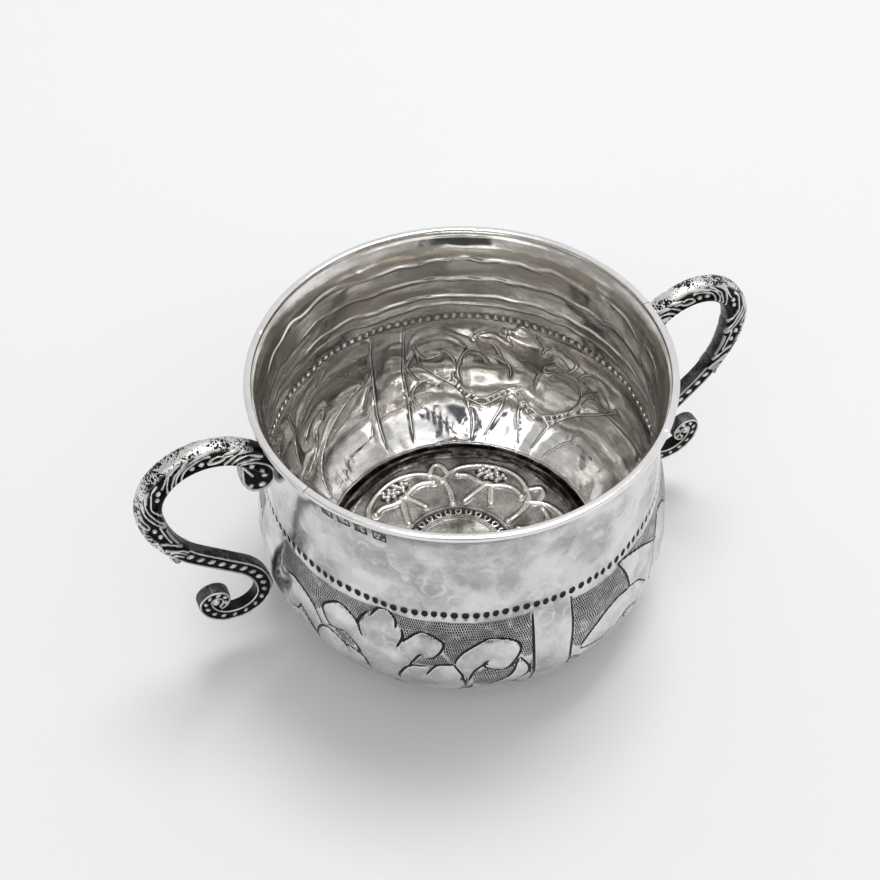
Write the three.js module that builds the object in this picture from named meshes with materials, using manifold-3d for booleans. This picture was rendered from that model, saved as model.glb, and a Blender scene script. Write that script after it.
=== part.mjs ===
// Silver two-handled cup: a raised bowl with a pinched neck, a wire soldered round its rim,
// a flat base plate let into its open bottom, a low foot ring, and two cast scroll handles.
// Millimetres, +Z up. The origin is the centre of the foot's underside, and the handles lie on X.
import * as THREE from 'three';
import { mergeVertices } from 'three/addons/utils/BufferGeometryUtils.js';
import Module from 'manifold-3d';

const wasm = await Module();
wasm.setup();

// Bowl, a raised sheet: heights are above the table, radii are to the outside of the wall
const cupHeight = 82.5;
const wall = 0.95;
const neckRadius = 50.9;
const neckBelowRim = 8.2;
const chasedBandRadius = 53.3;
const chasedBandTop = 49.4;
const bellyRadius = 57;
const bellyHeight = 29;
const turnInRadius = 51.7;
const turnInHeight = 12.3;
const underBellySet = 0.55;
const underBellyDrop = 6.5;
const overBellySwell = 0.75;

// Rim wire, soldered on the edge of the wall
const rimInnerRadius = 52;
const rimWidth = 1.96;
const rimThickness = 1.6;
const rimRounding = 0.45;

// Foot ring and base plate
const footHeight = 4.4;
const footTopRadius = 41.4;
const footBottomRadius = 43;
const footBandHeight = 0.9;
const footStep = 0.8;
const footWall = 2.1;
const ledgeWidth = 2.4;
const floorHeight = 2.8;
const floorThickness = 0.9;
const plateLipHeight = 2.2;
const plateLipWidth = 0.8;
const coveWidth = 1.5;
const medallionInner = 13;
const medallionOuter = 17;
const medallionRidge = 0.45;

// Handle scroll: a chain of arcs from the neck, over the arch and down to the lower volute
const archAboveRim = 1.5;
const rootLength = 7.2;
const rootSlope = 45;
const archRiseRadius = 16;
const archShoulderRadius = 15.05;
const archFallRadius = 30;
const archFallAngle = 32.4;
const strapLeanAngle = 45.7;
const strapLength = 13.5;
const strapBendRadius = 14.75;
const lowerCurlRadius = 8.2;
const lowerEyeRadius = 2.8;

// Upper volute, which hangs from the underside of the arch beside the neck and curls up to the arch again
const upperVoluteSet = 7.3;
const upperVoluteDrop = 4.5;
const upperVoluteRadius = 7.2;
const upperVoluteAngle = 85;
const upperVoluteStraight = 2;
const upperDiscRadius = 4.3;
const upperTailLength = 7.5;
const upperTailHalfDepth = 1.6;
const upperEdgeHalfDepth = 0.4;
const crescentRadius = 2.4;

// Handle castings: half depth in the plane of the scroll, and half width across it
const archHalfDepth = 3.3;
const archHalfWidth = 3.2;
const archEndHalfDepth = 2.6;
const archEndHalfWidth = 2.7;
const strapHalfDepth = 2.3;
const strapHalfWidth = 2.05;
const voluteHalfDepth = 2.6;
const voluteHalfWidth = 2.3;
const eyeHalfDepth = 1.05;
const bossRadius = 1.5;
const bossStand = 0.35;
const channelDepth = 0.55;
const seatGap = 0.3;
const padStand = 0.1;
const padSink = 0.3;
const padHalfDepth = 0.9;
const padHalfWidth = 1.5;
const padHalfHeight = 2.6;

// Beads lie along the channels of the strap and volutes, and in pairs between the leaf sprays
const beadPitch = 3.15;
const beadHalfLength = 0.95;
const beadHalfWidth = 0.66;
const beadStand = 0.6;
const pairedBeadGap = 2.4;
const voluteBeadCount = 3;
const firstVoluteBead = 5;
const voluteBeadSet = 0.9;
const voluteBeadPitch = 3.4;
const crescentPitch = 2.6;

// Leaf sprays cover the sides of the arch, and a leaf tip laps over the top of the strap
const sprayCount = 4;
const sprayPitch = 13;
const firstSprayRoot = 3.8;
const fluteCount = 3;
const fluteRootPitch = 3.2;
const fluteTipPitch = 2.8;
const fluteLength = 9.6;
const fluteHalfWidth = 1.05;
const fluteStand = 0.55;
const leafLap = 0.8;
const strapTuck = 1.1;
const leafTipLength = 5.2;
const leafTipHalfWidth = 2.1;
const leafTipHalfDepth = 1.4;
const leafTipRise = 0.3;

// Facets: turned pieces are cut into this many sides, and the wall into this many bands
const aroundSegments = 44;
const wallSteps = 11;

const silver = { color: 0xc8c6c2, metalness: 1, roughness: 0.24 };
const tarnished = { color: 0x9a958c, metalness: 1, roughness: 0.38 };
const oxidised = { color: 0xb4b0aa, metalness: 1, roughness: 0.34 };

// Join and cut helpers

function toSolid(geometry) {
  const bare = geometry.clone();
  bare.deleteAttribute('normal');
  bare.deleteAttribute('uv');
  const merged = mergeVertices(bare, 1e-4);
  return new wasm.Manifold(new wasm.Mesh({
    numProp: 3,
    vertProperties: new Float32Array(merged.attributes.position.array),
    triVerts: new Uint32Array(merged.index.array),
  }));
}

function toGeometry(solid) {
  const mesh = solid.getMesh();
  const geometry = new THREE.BufferGeometry();
  geometry.setAttribute('position', new THREE.BufferAttribute(new Float32Array(mesh.vertProperties), 3));
  geometry.setIndex(new THREE.BufferAttribute(new Uint32Array(mesh.triVerts), 1));
  geometry.computeVertexNormals();
  return geometry;
}

function lathe(profile) {
  const geometry = new THREE.LatheGeometry(profile, aroundSegments);
  geometry.rotateX(Math.PI / 2);
  return geometry;
}

// Bowl wall

const wallTop = cupHeight - rimThickness;
const lipRadius = footTopRadius - footWall;

function outerWallPoints() {
  const band = chasedBandRadius;
  const knots = [
    [footTopRadius, footHeight],
    [turnInRadius, turnInHeight],
    [bellyRadius - underBellySet, bellyHeight - underBellyDrop],
    [bellyRadius, bellyHeight],
    [(bellyRadius + band) / 2 + overBellySwell, (bellyHeight + chasedBandTop) / 2],
    [band, chasedBandTop],
    [(neckRadius + band) / 2, (cupHeight - neckBelowRim + chasedBandTop) / 2],
    [neckRadius, cupHeight - neckBelowRim],
    [rimInnerRadius + wall, wallTop],
  ];
  return new THREE.SplineCurve(knots.map(([r, z]) => new THREE.Vector2(r, z))).getSpacedPoints(wallSteps);
}

const outerWall = outerWallPoints();

function wallRadiusAt(height) {
  const above = outerWall.findIndex((point) => point.y >= height);
  const high = outerWall[above];
  const low = outerWall[above - 1];
  return THREE.MathUtils.mapLinear(height, low.y, high.y, low.x, high.x);
}

function offsetWall(distance) {
  return outerWall.map((point, i) => {
    const before = outerWall[Math.max(i - 1, 0)];
    const after = outerWall[Math.min(i + 1, outerWall.length - 1)];
    const along = after.clone().sub(before).normalize();
    return new THREE.Vector2(point.x + along.y * distance, point.y - along.x * distance);
  });
}

function bowl() {
  const inner = offsetWall(-wall);
  inner[inner.length - 1].set(rimInnerRadius, wallTop);
  const lip = [new THREE.Vector2(lipRadius, inner[0].y), new THREE.Vector2(lipRadius, footHeight)];
  const profile = [...outerWall, ...inner.reverse(), ...lip];
  return lathe([...profile, profile[0].clone()]);
}

function rimWire() {
  const outer = rimInnerRadius + rimWidth;
  const soft = rimRounding;
  const profile = [
    [rimInnerRadius, wallTop],
    [outer - soft, wallTop],
    [outer, wallTop + soft],
    [outer, cupHeight - soft],
    [outer - soft, cupHeight],
    [rimInnerRadius + soft, cupHeight],
    [rimInnerRadius, cupHeight - soft],
    [rimInnerRadius, wallTop],
  ];
  return lathe(profile.map(([r, z]) => new THREE.Vector2(r, z)));
}

// Foot and floor

const ledgeHeight = floorHeight - floorThickness;

function footRing() {
  const ledgeInner = lipRadius - ledgeWidth;
  const profile = [
    [ledgeInner, 0],
    [footBottomRadius, 0],
    [footBottomRadius, footBandHeight],
    [footTopRadius, footBandHeight + footStep],
    [footTopRadius, footHeight],
    [lipRadius, footHeight],
    [lipRadius, ledgeHeight],
    [ledgeInner, ledgeHeight],
    [ledgeInner, 0],
  ];
  return lathe(profile.map(([r, z]) => new THREE.Vector2(r, z)));
}

function basePlate() {
  const edge = lipRadius - seatGap;
  const lipInner = edge - plateLipWidth;
  const lipTop = floorHeight + plateLipHeight;
  const profile = [[0, ledgeHeight], [edge, ledgeHeight], [edge, lipTop], [lipInner, lipTop]];
  profile.push([lipInner - coveWidth / 3, floorHeight + plateLipHeight / 3]);
  profile.push([lipInner - coveWidth, floorHeight]);
  const ridgeTop = floorHeight + medallionRidge;
  profile.push([medallionOuter + medallionRidge, floorHeight], [medallionOuter, ridgeTop]);
  profile.push([medallionInner, ridgeTop], [medallionInner - medallionRidge, floorHeight]);
  profile.push([0, floorHeight]);
  return lathe(profile.map(([r, z]) => new THREE.Vector2(r, z)));
}

// Handle path: stations along a chain of arcs, each with its place, heading and section

function mixSections(from, to, share) {
  const mix = (key) => THREE.MathUtils.lerp(from[key], to[key], share);
  return { depth: mix('depth'), width: mix('width'), channel: mix('channel') };
}

function walkArcs(start, heading, arcs) {
  const stations = [];
  let place = start.clone();
  let angle = heading;
  let travelled = 0;
  arcs.forEach((arc, index) => {
    const turn = THREE.MathUtils.degToRad(arc.turn);
    const length = arc.length ?? Math.abs(turn) * arc.radius;
    for (let i = index === 0 ? 0 : 1; i <= arc.steps; i += 1) {
      const share = i / arc.steps;
      const chord = new THREE.Vector2(Math.cos(angle), Math.sin(angle)).multiplyScalar(length * share);
      const half = (turn * share) / 2;
      if (arc.turn !== 0) {
        chord.setLength(2 * arc.radius * Math.sin(Math.abs(half)) + 1e-9);
        chord.rotateAround(new THREE.Vector2(), half);
      }
      stations.push({
        arc: arc.name,
        at: place.clone().add(chord),
        heading: angle + turn * share,
        along: travelled + length * share,
        section: mixSections(arc.from, arc.to, share),
      });
    }
    place = stations[stations.length - 1].at.clone();
    angle += turn;
    travelled += length;
  });
  return stations;
}

function endOf(stations, arc) {
  return stations.findLast((station) => station.arc === arc);
}

function leftOf(station, distance) {
  const left = new THREE.Vector2(-Math.sin(station.heading), Math.cos(station.heading));
  return station.at.clone().addScaledVector(left, distance);
}

// Half outlines of the bar from its back to its inner face, as shares of its half depth and width:
// the arch has a plain rounded back above carved sides, and the strap has a channel in each side
const archOutline = [[1, 0], [0.85, 0.56], [0.4, 0.82], [-0.7, 0.8], [-1, 0]];
const strapOutline = [[1, 0], [0.93, 0.62], [0.8, 1], [0.5, 1], [-0.5, 1], [-0.8, 1], [-0.93, 0.62], [-1, 0]];
const channelCorners = [3, 4];

function ringPoints(station, outline) {
  const { section } = station;
  const half = outline.map(([n, y], i) => {
    const sunk = channelCorners.includes(i) ? section.channel : 0;
    return { out: n * section.depth, across: y * section.width - sunk };
  });
  const mirrored = half.slice(1, -1).reverse().map(({ out, across }) => ({ out, across: -across }));
  return [...half, ...mirrored].map(({ out, across }) => new THREE.Vector3(
    station.at.x - Math.sin(station.heading) * out,
    across,
    station.at.y + Math.cos(station.heading) * out,
  ));
}

function loft(rings) {
  const count = rings[0].length;
  const positions = rings.flat();
  const centre = (ring) => ring.reduce((sum, p) => sum.add(p), new THREE.Vector3()).divideScalar(count);
  const firstCap = positions.push(centre(rings[0])) - 1;
  const lastCap = positions.push(centre(rings[rings.length - 1])) - 1;
  const index = [];
  for (let i = 0; i < count; i += 1) {
    const next = (i + 1) % count;
    for (let r = 0; r < rings.length - 1; r += 1) {
      const a = r * count + i;
      const b = r * count + next;
      index.push(a, a + count, b, b, a + count, b + count);
    }
    const last = (rings.length - 1) * count;
    index.push(firstCap, i, next);
    index.push(lastCap, last + next, last + i);
  }
  const geometry = new THREE.BufferGeometry();
  const corners = positions.flatMap((point) => point.toArray());
  geometry.setAttribute('position', new THREE.Float32BufferAttribute(corners, 3));
  geometry.setIndex(index);
  return geometry;
}

function bar(stations, outline) {
  return toSolid(loft(stations.map((station) => ringPoints(station, outline))));
}

// A point on the side of the bar: along its length, out from its centreline and across it
function sidePoint(stations, along, out, across) {
  const last = stations.length - 1;
  const after = Math.max(1, stations.findIndex((station) => station.along >= along));
  const high = stations[along >= stations[last].along ? last : after];
  const low = stations[stations.indexOf(high) - 1];
  const share = THREE.MathUtils.mapLinear(along, low.along, high.along, 0, 1);
  const at = low.at.clone().lerp(high.at, share);
  const heading = THREE.MathUtils.lerp(low.heading, high.heading, share);
  return {
    place: new THREE.Vector3(at.x - Math.sin(heading) * out, across, at.y + Math.cos(heading) * out),
    heading,
    section: high.section,
  };
}

// How far the carved side of the arch stands from its middle plane, at a height out from the centreline
function archSide(section, out) {
  const level = THREE.MathUtils.clamp(out / section.depth, -1, 1);
  const below = archOutline.findIndex(([n]) => n <= level);
  const [lowOut, lowAcross] = archOutline[Math.max(below, 1)];
  const [highOut, highAcross] = archOutline[Math.max(below, 1) - 1];
  return THREE.MathUtils.mapLinear(level, lowOut, highOut, lowAcross, highAcross) * section.width;
}

// An oval bead, longest along the bar, with half of it sunk in the floor
function bead(stations, along, out, floor) {
  const { place, heading } = sidePoint(stations, along, out, floor);
  const ball = new THREE.SphereGeometry(1, 5, 4);
  ball.scale(beadHalfLength, beadStand, beadHalfWidth);
  ball.rotateY(-heading);
  ball.translate(place.x, place.y, place.z);
  return toSolid(ball);
}

function beadRow(stations, from, to, pitch) {
  const solids = [];
  const count = Math.round((to - from) / pitch);
  for (let i = 0; i <= count; i += 1) {
    const along = THREE.MathUtils.lerp(from, to, i / count);
    const { section } = sidePoint(stations, along, 0, 0);
    const floor = section.width - section.channel;
    solids.push(bead(stations, along, 0, floor), bead(stations, along, 0, -floor));
  }
  return solids;
}

// A flute starts beside the plain back and sweeps down the side of the arch to its inner edge
function flute(stations, root, tip, side) {
  const rings = [];
  const steps = 2;
  const rootLevel = 0.74;
  const tipLevel = -0.97;
  const baseSink = 0.15;
  const keelSink = 0.8;
  for (let i = 0; i <= steps; i += 1) {
    const share = i / steps;
    const { section, heading } = sidePoint(stations, THREE.MathUtils.lerp(root, tip, share), 0, 0);
    const out = THREE.MathUtils.lerp(rootLevel, tipLevel, share ** 1.5) * section.depth;
    const middle = sidePoint(stations, THREE.MathUtils.lerp(root, tip, share), out, 0).place;
    const floor = archSide(section, out);
    const slant = heading - THREE.MathUtils.lerp(0.2, 1.1, share);
    const across = new THREE.Vector3(-Math.sin(slant), 0, Math.cos(slant));
    const swell = THREE.MathUtils.lerp(0.55, 1, Math.sin(Math.PI * share));
    const ridge = floor + fluteStand * swell;
    const outline = [[1, floor - baseSink], [0, ridge], [-1, floor - baseSink], [0, floor - keelSink]];
    rings.push(outline.map(([w, y]) => (
      middle.clone().addScaledVector(across, w * swell * fluteHalfWidth).setY(side * y)
    )));
  }
  return toSolid(loft(side > 0 ? rings : rings.map((ring) => [...ring].reverse())));
}

function spray(stations, root, side) {
  const solids = [];
  for (let k = 0; k < fluteCount; k += 1) {
    solids.push(flute(stations, root + k * fluteRootPitch, root + fluteLength + k * fluteTipPitch, side));
  }
  return solids;
}

function pairedBeads(stations, from) {
  const solids = [];
  for (const along of [from, from + pairedBeadGap]) {
    const { section } = sidePoint(stations, along, 0, 0);
    const floor = archSide(section, 0);
    solids.push(bead(stations, along, 0, floor), bead(stations, along, 0, -floor));
  }
  return solids;
}

function leafTip(stations, along) {
  const tip = sidePoint(stations, along, strapHalfDepth + leafTipRise, 0);
  const drop = new THREE.SphereGeometry(1, 7, 4);
  drop.scale(leafTipLength / 2, leafTipHalfWidth, leafTipHalfDepth);
  drop.rotateY(-tip.heading);
  drop.translate(tip.place.x, 0, tip.place.z);
  return toSolid(drop);
}

// The round boss that the lower volute winds up to: it stands a little proud of the sides
function boss(centre) {
  const ball = new THREE.SphereGeometry(1, 7, 6);
  ball.scale(bossRadius, strapHalfWidth + bossStand, bossRadius);
  ball.translate(centre.x, 0, centre.y);
  return toSolid(ball);
}

// The upper volute is closed: a round plate fills it, level with the bottom of its channel
function volutePlate(centre) {
  const radius = upperDiscRadius - upperEdgeHalfDepth;
  const plate = new THREE.CylinderGeometry(radius, radius, (voluteHalfWidth - channelDepth) * 2, 16);
  plate.translate(centre.x, 0, centre.y);
  return toSolid(plate);
}

// The small pad of solder that carries the bend of the strap on the belly
function solderPad(contact) {
  const pad = new THREE.SphereGeometry(1, 8, 6);
  pad.scale(padHalfDepth, padHalfWidth, padHalfHeight);
  pad.translate(contact.x - strapHalfDepth + padSink, 0, contact.y);
  return toSolid(pad);
}

// Three round beads on the neck side of the upper volute, then two longer ones round its disc
function voluteBeads(upper, crescents) {
  const floor = voluteHalfWidth - channelDepth;
  const solids = [];
  for (const side of [floor, -floor]) {
    for (let i = 0; i < voluteBeadCount; i += 1) {
      solids.push(bead(upper, firstVoluteBead + i * voluteBeadPitch, voluteBeadSet, side));
    }
    const last = crescents[crescents.length - 1].along;
    solids.push(bead(crescents, last / 2 + crescentPitch / 4, 0, side));
    solids.push(bead(crescents, last / 2 + crescentPitch * 1.25, 0, side));
  }
  return solids;
}

// Handle casting

const archBar = { depth: archHalfDepth, width: archHalfWidth, channel: 0 };
const archEnd = { depth: archEndHalfDepth, width: archEndHalfWidth, channel: 0 };
const strapBar = { depth: strapHalfDepth, width: strapHalfWidth, channel: channelDepth };
const strapNarrow = { depth: strapHalfDepth * 0.85, width: strapHalfWidth, channel: channelDepth };
const strapEnd = { depth: eyeHalfDepth, width: strapHalfWidth, channel: channelDepth / 2 };
const voluteBar = { depth: voluteHalfDepth, width: voluteHalfWidth, channel: channelDepth };
const voluteTail = { depth: upperTailHalfDepth, width: voluteHalfWidth, channel: channelDepth };
const voluteEdge = { depth: upperEdgeHalfDepth, width: voluteHalfWidth, channel: 0 };
const strapTopTurn = archFallAngle - strapLeanAngle;

const archArcs = [
  { name: 'root', length: rootLength, turn: 0, steps: 1, from: archBar, to: archBar },
  { name: 'rise', radius: archRiseRadius, turn: -rootSlope, steps: 2, from: archBar, to: archBar },
  { name: 'shoulder', radius: archShoulderRadius, turn: -90, steps: 5, from: archBar, to: archBar },
  { name: 'fall', radius: archFallRadius, turn: -archFallAngle, steps: 2, from: archBar, to: archEnd },
  { name: 'leaf lap', length: leafLap, turn: 0, steps: 1, from: archEnd, to: archEnd },
];

const strapArcs = [
  { name: 'tuck', length: strapTuck, turn: 0, steps: 1, from: strapBar, to: strapBar },
  { name: 'strap top', radius: archFallRadius, turn: strapTopTurn, steps: 1, from: strapBar, to: strapBar },
  { name: 'strap', length: strapLength, turn: 0, steps: 1, from: strapBar, to: strapBar },
  { name: 'bend', radius: strapBendRadius, turn: strapLeanAngle, steps: 3, from: strapBar, to: strapBar },
  { name: 'lower curl', radius: lowerCurlRadius, turn: 180, steps: 10, from: strapBar, to: strapNarrow },
];

const lowerEyeArcs = [
  { name: 'lower eye', radius: lowerEyeRadius, turn: 255, steps: 8, from: strapNarrow, to: strapEnd },
];

const upperArcs = [
  { name: 'side', radius: upperVoluteRadius, turn: upperVoluteAngle, steps: 5, from: voluteBar, to: voluteBar },
  { name: 'drop', length: upperVoluteStraight, turn: 0, steps: 1, from: voluteBar, to: voluteBar },
];

const upperTailArcs = [
  { name: 'tail', length: upperTailLength, turn: 0, steps: 1, from: voluteTail, to: voluteTail },
];

// Half a turn round the upper disc, from the side by the neck to the side by the tail
function halfTurn(centre, radius, steps) {
  const side = centre.clone().sub(new THREE.Vector2(radius, 0));
  const arc = { name: 'half', radius, turn: 180, steps, from: voluteEdge, to: voluteEdge };
  return walkArcs(side, -Math.PI / 2, [arc]);
}

function clearanceBody() {
  const hug = offsetWall(seatGap);
  const rimOuter = rimInnerRadius + rimWidth + seatGap;
  const top = cupHeight + archHalfDepth * 2;
  const profile = [new THREE.Vector2(0, 0), new THREE.Vector2(hug[0].x, 0), ...hug];
  profile.push(new THREE.Vector2(rimOuter, wallTop - seatGap));
  profile.push(new THREE.Vector2(rimOuter, top), new THREE.Vector2(0, top));
  return toSolid(lathe(profile));
}

function handle() {
  const slope = THREE.MathUtils.degToRad(rootSlope);
  const archTop = cupHeight + archAboveRim - archHalfDepth;
  const rootRise = rootLength * Math.sin(slope) + archRiseRadius * (1 - Math.cos(slope));
  const rootReach = rootLength * Math.cos(slope) + archRiseRadius * Math.sin(slope);
  const rootHeight = archTop - rootRise;
  const start = new THREE.Vector2(wallRadiusAt(rootHeight) + seatGap, rootHeight);
  const arch = walkArcs(start, slope, archArcs);
  const leafEnd = endOf(arch, 'fall');
  const tuck = new THREE.Vector2(strapTuck, 0).rotateAround(new THREE.Vector2(), leafEnd.heading);
  const strap = walkArcs(leafEnd.at.clone().sub(tuck), leafEnd.heading, strapArcs);
  const contact = endOf(strap, 'bend').at;
  const lowerTurn = endOf(strap, 'lower curl');
  const lowerEye = walkArcs(lowerTurn.at, lowerTurn.heading, lowerEyeArcs);

  const voluteReach = new THREE.Vector2(rootReach - upperVoluteSet, rootRise - upperVoluteDrop);
  const upper = walkArcs(start.clone().add(voluteReach), Math.PI, upperArcs);
  const disc = leftOf(endOf(upper, 'drop'), upperDiscRadius - voluteHalfDepth);
  const edge = halfTurn(disc, upperDiscRadius - upperEdgeHalfDepth, 8);
  const crescents = halfTurn(disc, crescentRadius, 8);
  const tailStart = disc.clone().add(new THREE.Vector2(upperDiscRadius - upperTailHalfDepth, 0));
  const tail = walkArcs(tailStart, Math.PI / 2, upperTailArcs);

  const bars = [
    bar(arch, archOutline),
    ...[strap, lowerEye, upper, edge, tail].map((stations) => bar(stations, strapOutline)),
    boss(leftOf(lowerEye[lowerEye.length - 1], lowerEyeRadius)),
    volutePlate(disc),
    solderPad(contact),
  ];

  const leaves = [leafTip(strap, strapTuck + leafLap)];
  for (let i = 0; i < sprayCount; i += 1) {
    const root = firstSprayRoot + i * sprayPitch;
    leaves.push(...spray(arch, root, 1), ...spray(arch, root, -1));
    if (i < sprayCount - 1) leaves.push(...pairedBeads(arch, root + sprayPitch + fluteTipPitch));
  }

  const beads = [
    ...beadRow(strap, strapTuck + leafLap + beadPitch, endOf(strap, 'lower curl').along, beadPitch),
    ...voluteBeads(upper, crescents),
  ];
  const whole = [...bars, ...leaves, ...beads].reduce((sum, piece) => sum.add(piece));

  // The strap leans as far as it must for the pad at its bend to meet the belly
  const meeting = wallRadiusAt(contact.y) + seatGap + padStand + strapHalfDepth;
  const lean = (meeting - contact.x) / (rootHeight - contact.y);
  const shear = new THREE.Matrix4().set(1, 0, -lean, lean * rootHeight, 0, 1, 0, 0, 0, 0, 1, 0, 0, 0, 0, 1);
  const leaned = toGeometry(whole).applyMatrix4(shear);
  return toGeometry(toSolid(leaned).subtract(clearanceBody()));
}

// Assembly

function named(name, geometry, look) {
  const mesh = new THREE.Mesh(geometry, new THREE.MeshStandardMaterial(look));
  mesh.name = name;
  return mesh;
}

const cup = new THREE.Group();
cup.add(named('bowl', bowl(), silver));
cup.add(named('rim_wire', rimWire(), silver));
cup.add(named('foot_ring', footRing(), silver));
cup.add(named('base_plate', basePlate(), tarnished));

const handleShape = handle();
const rightHandle = named('handle_right', handleShape, oxidised);
const leftHandle = named('handle_left', handleShape.clone(), oxidised);
leftHandle.rotation.z = Math.PI;
cup.add(rightHandle, leftHandle);

export default cup;
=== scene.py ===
import math

import bmesh
import bpy
import numpy as np
from mathutils import Matrix, Vector


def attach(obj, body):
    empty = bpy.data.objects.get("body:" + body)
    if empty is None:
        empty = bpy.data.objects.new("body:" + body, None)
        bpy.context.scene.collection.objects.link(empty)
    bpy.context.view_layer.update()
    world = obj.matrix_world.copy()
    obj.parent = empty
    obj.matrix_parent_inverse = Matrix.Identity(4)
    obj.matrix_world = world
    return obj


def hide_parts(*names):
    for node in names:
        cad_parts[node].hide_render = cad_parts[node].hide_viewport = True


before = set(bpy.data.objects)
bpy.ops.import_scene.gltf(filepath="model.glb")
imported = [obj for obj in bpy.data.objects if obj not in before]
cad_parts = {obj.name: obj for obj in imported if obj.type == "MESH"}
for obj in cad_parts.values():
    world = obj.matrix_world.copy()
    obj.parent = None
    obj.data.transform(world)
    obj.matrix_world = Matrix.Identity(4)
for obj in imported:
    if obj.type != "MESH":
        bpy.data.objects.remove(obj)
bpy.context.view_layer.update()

# Bowl: one sheet of silver raised into an open-bottomed body with a pinched neck and a full belly.
# It is planished all over, then chased from outside with a row of round punches and a running
# design of flowers and leaves, so the lines are cut dark outside and stand up as ridges inside.
MM = 0.001
cup_height = 82.5
wall = 0.95
rim_thickness = 1.6
rim_inner_radius = 52.0
foot_height = 4.4
foot_top_radius = 41.4
foot_wall = 2.1
wall_top = cup_height - rim_thickness
lip_radius = foot_top_radius - foot_wall
wall_knots = [
    (foot_top_radius, foot_height), (51.7, 12.3), (56.45, 22.5), (57.0, 29.0), (55.9, 39.2),
    (53.3, 49.4), (52.1, 61.85), (50.9, 74.3), (rim_inner_radius + wall, wall_top),
]


def smooth_line(knots, steps):
    """Points on a smooth curve through the knots, with the same number of steps between each pair."""
    p = np.array(knots, float)
    p = np.vstack([p[:1], p, p[-1:]])
    points = []
    for i in range(1, len(p) - 2):
        t = np.linspace(0, 1, steps, endpoint=False)[:, None]
        enter, leave = (p[i + 1] - p[i - 1]) / 2, (p[i + 2] - p[i]) / 2
        rise = (2 * p[i] - 2 * p[i + 1] + enter + leave) * t ** 3
        points.append(rise + (3 * p[i + 1] - 3 * p[i] - 2 * enter - leave) * t ** 2 + enter * t + p[i])
    return np.vstack(points + [p[-1:]])


def smoothstep(low, high, value):
    share = np.clip((value - low) / (high - low), 0, 1)
    return share * share * (3 - 2 * share)


steps_between_knots = 40
wall_line = smooth_line(wall_knots, steps_between_knots)
wall_slope = np.gradient(wall_line, axis=0)
wall_slope /= np.linalg.norm(wall_slope, axis=1)[:, None]
wall_run = np.concatenate([[0], np.cumsum(np.linalg.norm(np.diff(wall_line, axis=0), axis=1))])


def wall_radius(height):
    return np.interp(height, wall_line[:, 1], wall_line[:, 0])


def wall_normal(height):
    """Radial and upward parts of the wall's outward normal."""
    upward = np.interp(height, wall_line[:, 1], -wall_slope[:, 0])
    return np.interp(height, wall_line[:, 1], wall_slope[:, 1]), upward


punch_count = 133
columns_per_punch = 5
columns = punch_count * columns_per_punch
punch_height = 50.1
punch_row_radius = 53.2
punch_radius = 0.92
punch_dent_radius = 1.05
punch_depth = 0.5
punch_squeeze = 0.76
design_low, punches_low, punches_high = 12, 47.6, 52.6
outer_rows = np.concatenate([
    np.linspace(foot_height, design_low, 10, endpoint=False),
    np.linspace(design_low, punches_low, 44, endpoint=False),
    np.linspace(punches_low, punches_high, 9, endpoint=False),
    np.linspace(punches_high, wall_top, 13),
])
inner_rows = np.concatenate([
    np.linspace(wall_top, punches_high, 22, endpoint=False),
    np.linspace(punches_high, punches_low, 9, endpoint=False),
    np.linspace(punches_low, design_low, 34, endpoint=False),
    np.linspace(design_low, foot_height + 0.6, 7),
])

# The chased lines of one side, as degrees round from the handle and millimetres of height.
# The same design fills both sides, and its outermost leaves are repeated, turned over, by the far handle.
edge_leaves = [
    [(10, 39.1), (14.6, 40.2), (20.8, 38.1), (23.3, 35.9), (25.5, 32.2)],
    [(13.7, 27.9), (15.8, 28.9), (17.4, 32.4)],
    [(10, 29.3), (16.2, 23), (23.9, 18.1), (31.1, 11.8), (34.4, 5.9)],
    [(10, 10.4), (20.5, 10.9), (27.7, 5.9)],
]
flower = [
    [(37.2, 39.9), (35.7, 41.8), (31.1, 43.8), (26.8, 41), (26, 38.7), (27.8, 34.8), (30.3, 33.9),
     (33.6, 35)],
    [(39.6, 45.3), (37.4, 41.4), (38.6, 36.7)],
    [(44.7, 48.4), (42.5, 47.5), (40.6, 44.6)],
    [(45.4, 48.4), (47.8, 45.7), (47.9, 43.2)],
    [(49.6, 42.8), (49.9, 40.6), (48.5, 36.7)],
    [(50.2, 39.5), (53.5, 43), (56, 43.6), (60.2, 41.2), (60.5, 38.7), (58.1, 34.9), (57.1, 34.8)],
    [(33.4, 35), (37.2, 31.6), (38.2, 29.3)],
    [(23.3, 20.3), (24.1, 28.1), (27.4, 32.2), (32.6, 30.3), (34, 28.1)],
    [(33.6, 30.5), (38.6, 27.9), (40.1, 25), (40.3, 21.5)],
    [(48.9, 22.3), (49.2, 25.8), (51.9, 30.3), (56.6, 31.4)],
    [(52.1, 31.1), (54.4, 35.4), (55.4, 35.8)],
    [(56.4, 27.7), (58.9, 32), (63.3, 32.8)],
    [(63.5, 32.4), (65.6, 28.1), (65.1, 26.2)],
    [(65.6, 27.3), (66.5, 22.3), (65.6, 19.9)],
]
vine = [
    (17.7, 31.6), (21.4, 28.5), (22.9, 25.8), (24.8, 20.3), (27.7, 17.2), (34.9, 13.3), (41.6, 14.5),
    (45.4, 17.8), (47.8, 18.7), (52.1, 16.5), (57.4, 14), (63.1, 15.8), (67.4, 20.3), (68.1, 22.6),
]
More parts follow.
